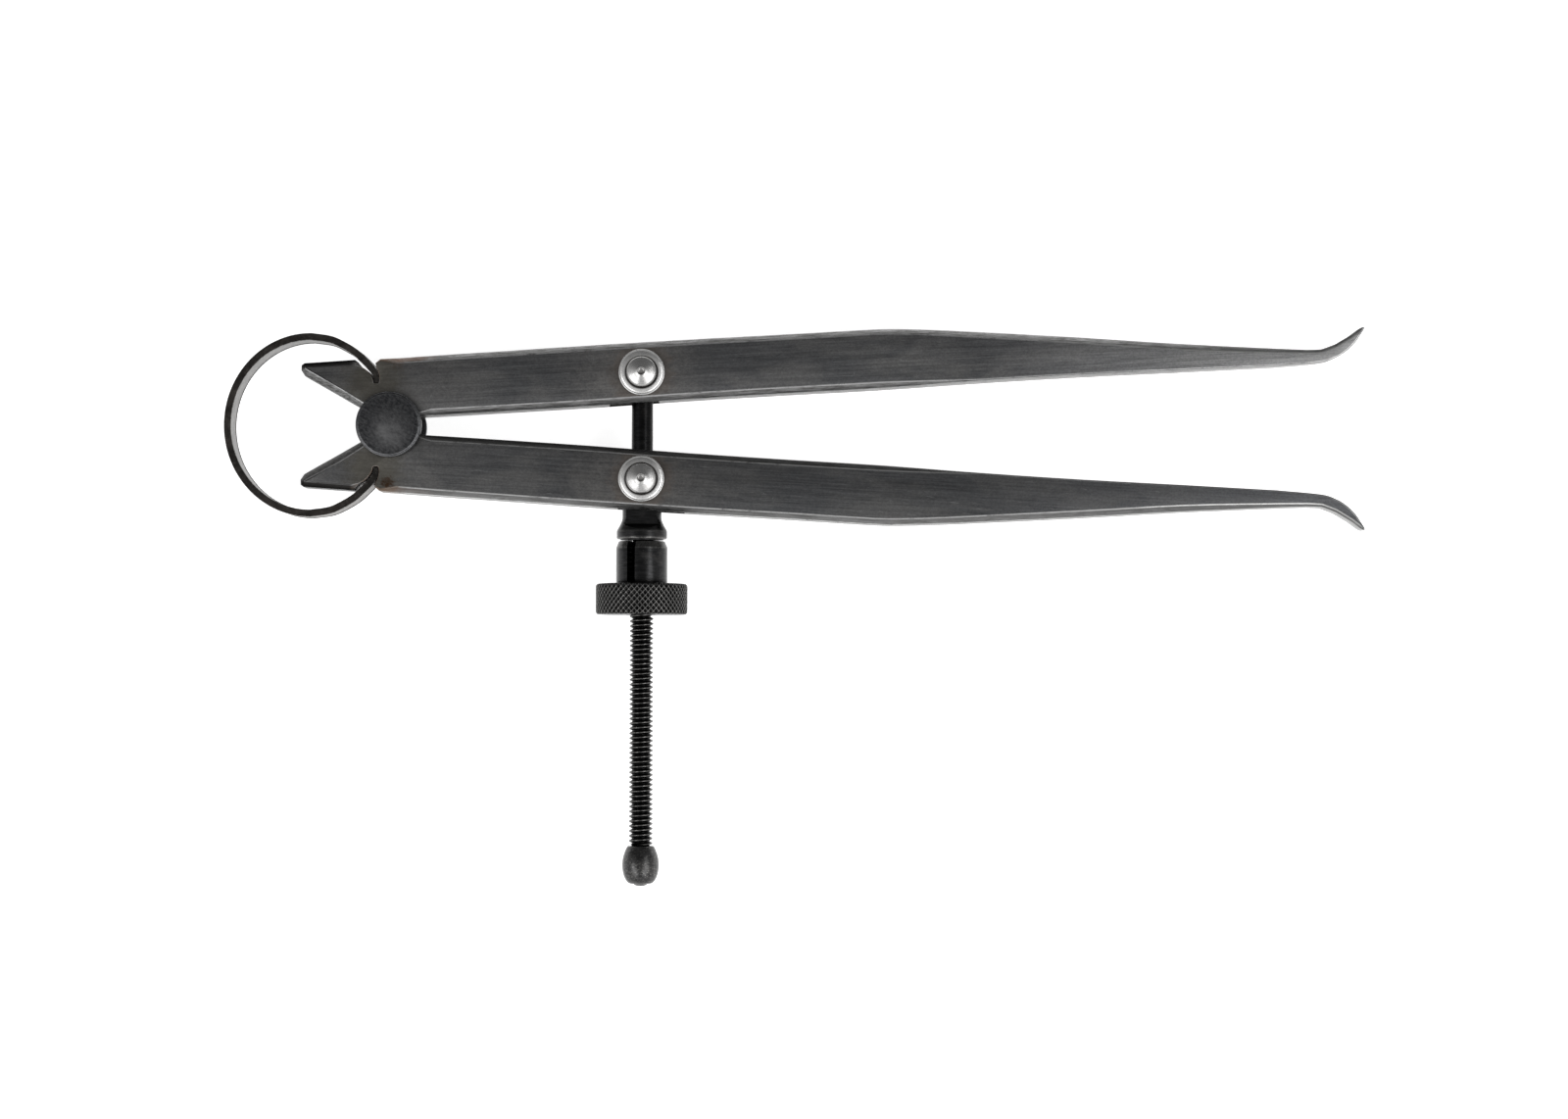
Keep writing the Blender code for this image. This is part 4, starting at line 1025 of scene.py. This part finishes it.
def knurled_ring():
    """The ring's outer face is a grid cut with two families of V grooves, which leaves diamond points."""
    bm = bmesh.new()
    wear = bm.verts.layers.float.new("rubbed")
    teeth, per = 52, 14
    around = teeth * per
    length = RING_TO - RING_FROM
    tooth = 2 * math.pi * RING_R / teeth
    depth = 0.36
    rise = 1.12  # slope of the grooves: along over around
    up = 44
    profile_in = [
        (COLLAR_R + 0.33, RING_FROM + 0.12), (COLLAR_R + 0.45, RING_FROM), (RING_R - 1.1, RING_FROM),
    ]
    edge = 0.62

    def shoulder(z):
        """How far the ring's round shoulders pull the surface in at a height."""
        d = min(z - RING_FROM, RING_TO - z)
        if d >= edge:
            return 0.0
        t = 1 - d / edge
        return edge * 0.85 * (1 - math.sqrt(max(0.0, 1 - t * t)))

    rows = []

    def plain(r, z, m=0.0):
        row = []
        for k in range(around):
            a = 2 * math.pi * k / around
            v = bm.verts.new((r * math.cos(a), r * math.sin(a), z))
            v[wear] = m
            row.append(v)
        rows.append(row)

    for r, z in profile_in:
        plain(r, z)
    plain(RING_R - 0.75, RING_FROM + 0.005, 0.25)
    levels = []
    for i in range(up + 1):
        t = i / up
        ease = 0.5 - 0.5 * math.cos(math.pi * t)
        levels.append(RING_FROM + length * (0.012 + 0.976 * (0.55 * t + 0.45 * ease)))
    for z in levels:
        pull = shoulder(z)
        share = max(0.0, 1 - pull / (edge * 0.60))
        row = []
        for k in range(around):
            a = 2 * math.pi * k / around
            s = a * RING_R
            u = (s + (z - RING_FROM) / rise) / tooth
            w = (s - (z - RING_FROM) / rise) / tooth
            hu = abs(2 * (u % 1.0) - 1)
            hw = abs(2 * (w % 1.0) - 1)
            peak = max(hu, hw)
            r = RING_R - pull - depth * (1 - peak) * share
            v = bm.verts.new((r * math.cos(a), r * math.sin(a), z))
            v[wear] = (max(0.0, (peak - 0.80) / 0.20) * 0.85 + max(0.0, min(hu, hw) - 0.6) * 1.2) * share
            row.append(v)
        rows.append(row)
    plain(RING_R - 0.75, RING_TO - 0.005, 0.25)
    plain(RING_R - 1.1, RING_TO)
    plain(4.2, RING_TO)
    plain(3.1, RING_TO - 0.0)
    plain(BORE_R + 0.35, RING_TO)
    plain(BORE_R + 0.15, RING_TO - 0.2)
    plain(BORE_R + 0.15, JAW_TO + GAP)
    plain(COLLAR_R + 0.33, JAW_TO + GAP)
    rows.append(rows[0])
    for a, b in zip(rows, rows[1:]):
        for k in range(around):
            j = (k + 1) % around
            bm.faces.new((a[k], a[j], b[j], b[k]))
    return bm


place("knurled_nut_ring_cut", knurled_ring(), [black_oxide("knurl_black", 0.45, 0.26)], "nut", ["knurled_nut_ring"], at=nut_at,
      turn=ALONG_SCREW, sharp=75)

# ------------------------------------------------------------------------------------------------ expanding wire ring

WIRE_R, LOOP_R, OPEN_LOOP = 0.24, 2.75, math.radians(50)
bm = bmesh.new()
bm.verts.layers.float.new("grime")
rows = []
turns = 72
for i in range(turns + 1):
    a = SPLIT_TURN + math.pi / 2 + OPEN_LOOP / 2 + (2 * math.pi - OPEN_LOOP) * i / turns
    row = []
    for k in range(14):
        b = 2 * math.pi * k / 14
        r = LOOP_R + WIRE_R * math.cos(b)
        row.append(bm.verts.new((r * math.cos(a), r * math.sin(a), (GROOVE[0] + GROOVE[1]) / 2 + WIRE_R * math.sin(b))))
    rows.append(row)
for a, b in zip(rows, rows[1:]):
    for k in range(14):
        bm.faces.new((a[k], a[(k + 1) % 14], b[(k + 1) % 14], b[k]))
bm.faces.new(list(reversed(rows[0])))
bm.faces.new(rows[-1])
place("nut_jaw_spring_wire", bm, [bright_finish("wire_steel", (PIN_X, 0, 0), 0.5, 0.3, 0.1)], "nut", ["nut_jaw_spring"],
      at=nut_at, turn=ALONG_SCREW, sharp=60)

# ------------------------------------------------------------------------------------------------ floor, light, camera

low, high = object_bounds()
floor_z = low.z if hasattr(low, "z") else low[2]
bm = bmesh.new()
corners = [bm.verts.new((x, y, 0)) for x, y in ((-4, -4), (4, -4), (4, 4), (-4, 4))]
bm.faces.new(corners)
mesh = bpy.data.meshes.new("floor")
bm.to_mesh(mesh)
bm.free()
floor = bpy.data.objects.new("floor", mesh)
floor.location = (0.05, -0.02, floor_z - 0.0002)
bpy.context.scene.collection.objects.link(floor)
paper = bpy.data.materials.new("floor_paper")
paper.use_nodes = True
p = paper.node_tree.nodes["Principled BSDF"]
p.inputs["Base Color"].default_value = (0.80, 0.80, 0.80, 1)
p.inputs["Roughness"].default_value = 0.9
p.inputs["Specular IOR Level"].default_value = 0.1
p.inputs["Emission Color"].default_value = (1, 1, 1, 1)
p.inputs["Emission Strength"].default_value = 0.78
mesh.materials.append(paper)

world = bpy.data.worlds.new("studio")
bpy.context.scene.world = world
world.use_nodes = True
tree = world.node_tree
back = tree.nodes["Background"]
coords = tree.nodes.new("ShaderNodeTexCoord")
split = tree.nodes.new("ShaderNodeSeparateXYZ")
tree.links.new(coords.outputs["Generated"], split.inputs[0])
sky = tree.nodes.new("ShaderNodeValToRGB")
sky.color_ramp.interpolation = "B_SPLINE"
stops = [(0.0, 1.0), (0.35, 1.0), (0.70, 0.80), (0.90, 0.55), (1.0, 0.42)]
sky.color_ramp.elements[0].position = stops[0][0]
sky.color_ramp.elements[0].color = (stops[0][1],) * 3 + (1,)
sky.color_ramp.elements[1].position = stops[-1][0]
sky.color_ramp.elements[1].color = (stops[-1][1],) * 3 + (1,)
for at, v in stops[1:-1]:
    e = sky.color_ramp.elements.new(at)
    e.color = (v, v, v, 1)
tree.links.new(split.outputs[2], sky.inputs[0])
# the far side, beyond the upper leg, is darker than the near side
side_share = tree.nodes.new("ShaderNodeMapRange")
side_share.interpolation_type = "SMOOTHSTEP"
for key, v in (("From Min", -0.35), ("From Max", 0.75), ("To Min", 1.0), ("To Max", 0.22)):
    side_share.inputs[key].default_value = v
tree.links.new(split.outputs[1], side_share.inputs["Value"])
near_far = tree.nodes.new("ShaderNodeMix")
near_far.data_type = "RGBA"
near_far.blend_type = "MULTIPLY"
near_far.inputs[0].default_value = 1.0
tree.links.new(sky.outputs[0], near_far.inputs[6])
tree.links.new(side_share.outputs[0], near_far.inputs[7])
seen = tree.nodes.new("ShaderNodeLightPath")
backdrop = tree.nodes.new("ShaderNodeMix")
backdrop.data_type = "RGBA"
backdrop.inputs[7].default_value = (1, 1, 1, 1)
tree.links.new(seen.outputs["Is Camera Ray"], backdrop.inputs[0])
tree.links.new(near_far.outputs[2], backdrop.inputs[6])
tree.links.new(backdrop.outputs[2], back.inputs[0])
back.inputs[1].default_value = 1.0

TARGET = Vector((0.05137, -0.01728, MID * MM))


def softbox(name, azimuth, elevation, size, radiance, distance=0.6):
    a, e = math.radians(azimuth), math.radians(elevation)
    way = Vector((math.cos(a) * math.cos(e), math.sin(a) * math.cos(e), math.sin(e)))
    data = bpy.data.lights.new(name, "AREA")
    data.shape = "RECTANGLE"
    data.size, data.size_y = size
    data.energy = radiance * math.pi * size[0] * size[1]
    lamp = bpy.data.objects.new(name, data)
    lamp.location = TARGET + way * distance
    lamp.rotation_euler = (-way).to_track_quat("-Z", "Y").to_euler()
    bpy.context.scene.collection.objects.link(lamp)
    return lamp


softbox("soft_low_left", -145, 46, (0.46, 0.22), 2.5)
softbox("soft_low_right", -35, 50, (0.46, 0.24), 2.9)
softbox("strip_right", 12, 52, (0.30, 0.10), 2.6)
softbox("strip_left", 176, 42, (0.30, 0.08), 0.4)

cam_data = bpy.data.cameras.new("camera")
cam_data.lens = 78.75
cam_data.sensor_width = 36.0
cam_data.clip_start = 0.01
cam_data.clip_end = 20
cam = bpy.data.objects.new("camera", cam_data)
tilt = math.radians(2.0)
away = Vector((0, -math.sin(tilt), math.cos(tilt)))
roll = math.radians(0.17)
up = Vector((-math.sin(roll), math.cos(roll), 0))
zaxis = away.normalized()
xaxis = up.cross(zaxis).normalized()
yaxis = zaxis.cross(xaxis)
cam.matrix_world = Matrix.Translation(TARGET + away * 0.448) @ Matrix((xaxis, yaxis, zaxis)).transposed().to_4x4()
bpy.context.scene.collection.objects.link(cam)
bpy.context.scene.camera = cam
bpy.context.scene.view_settings.view_transform = "Standard"
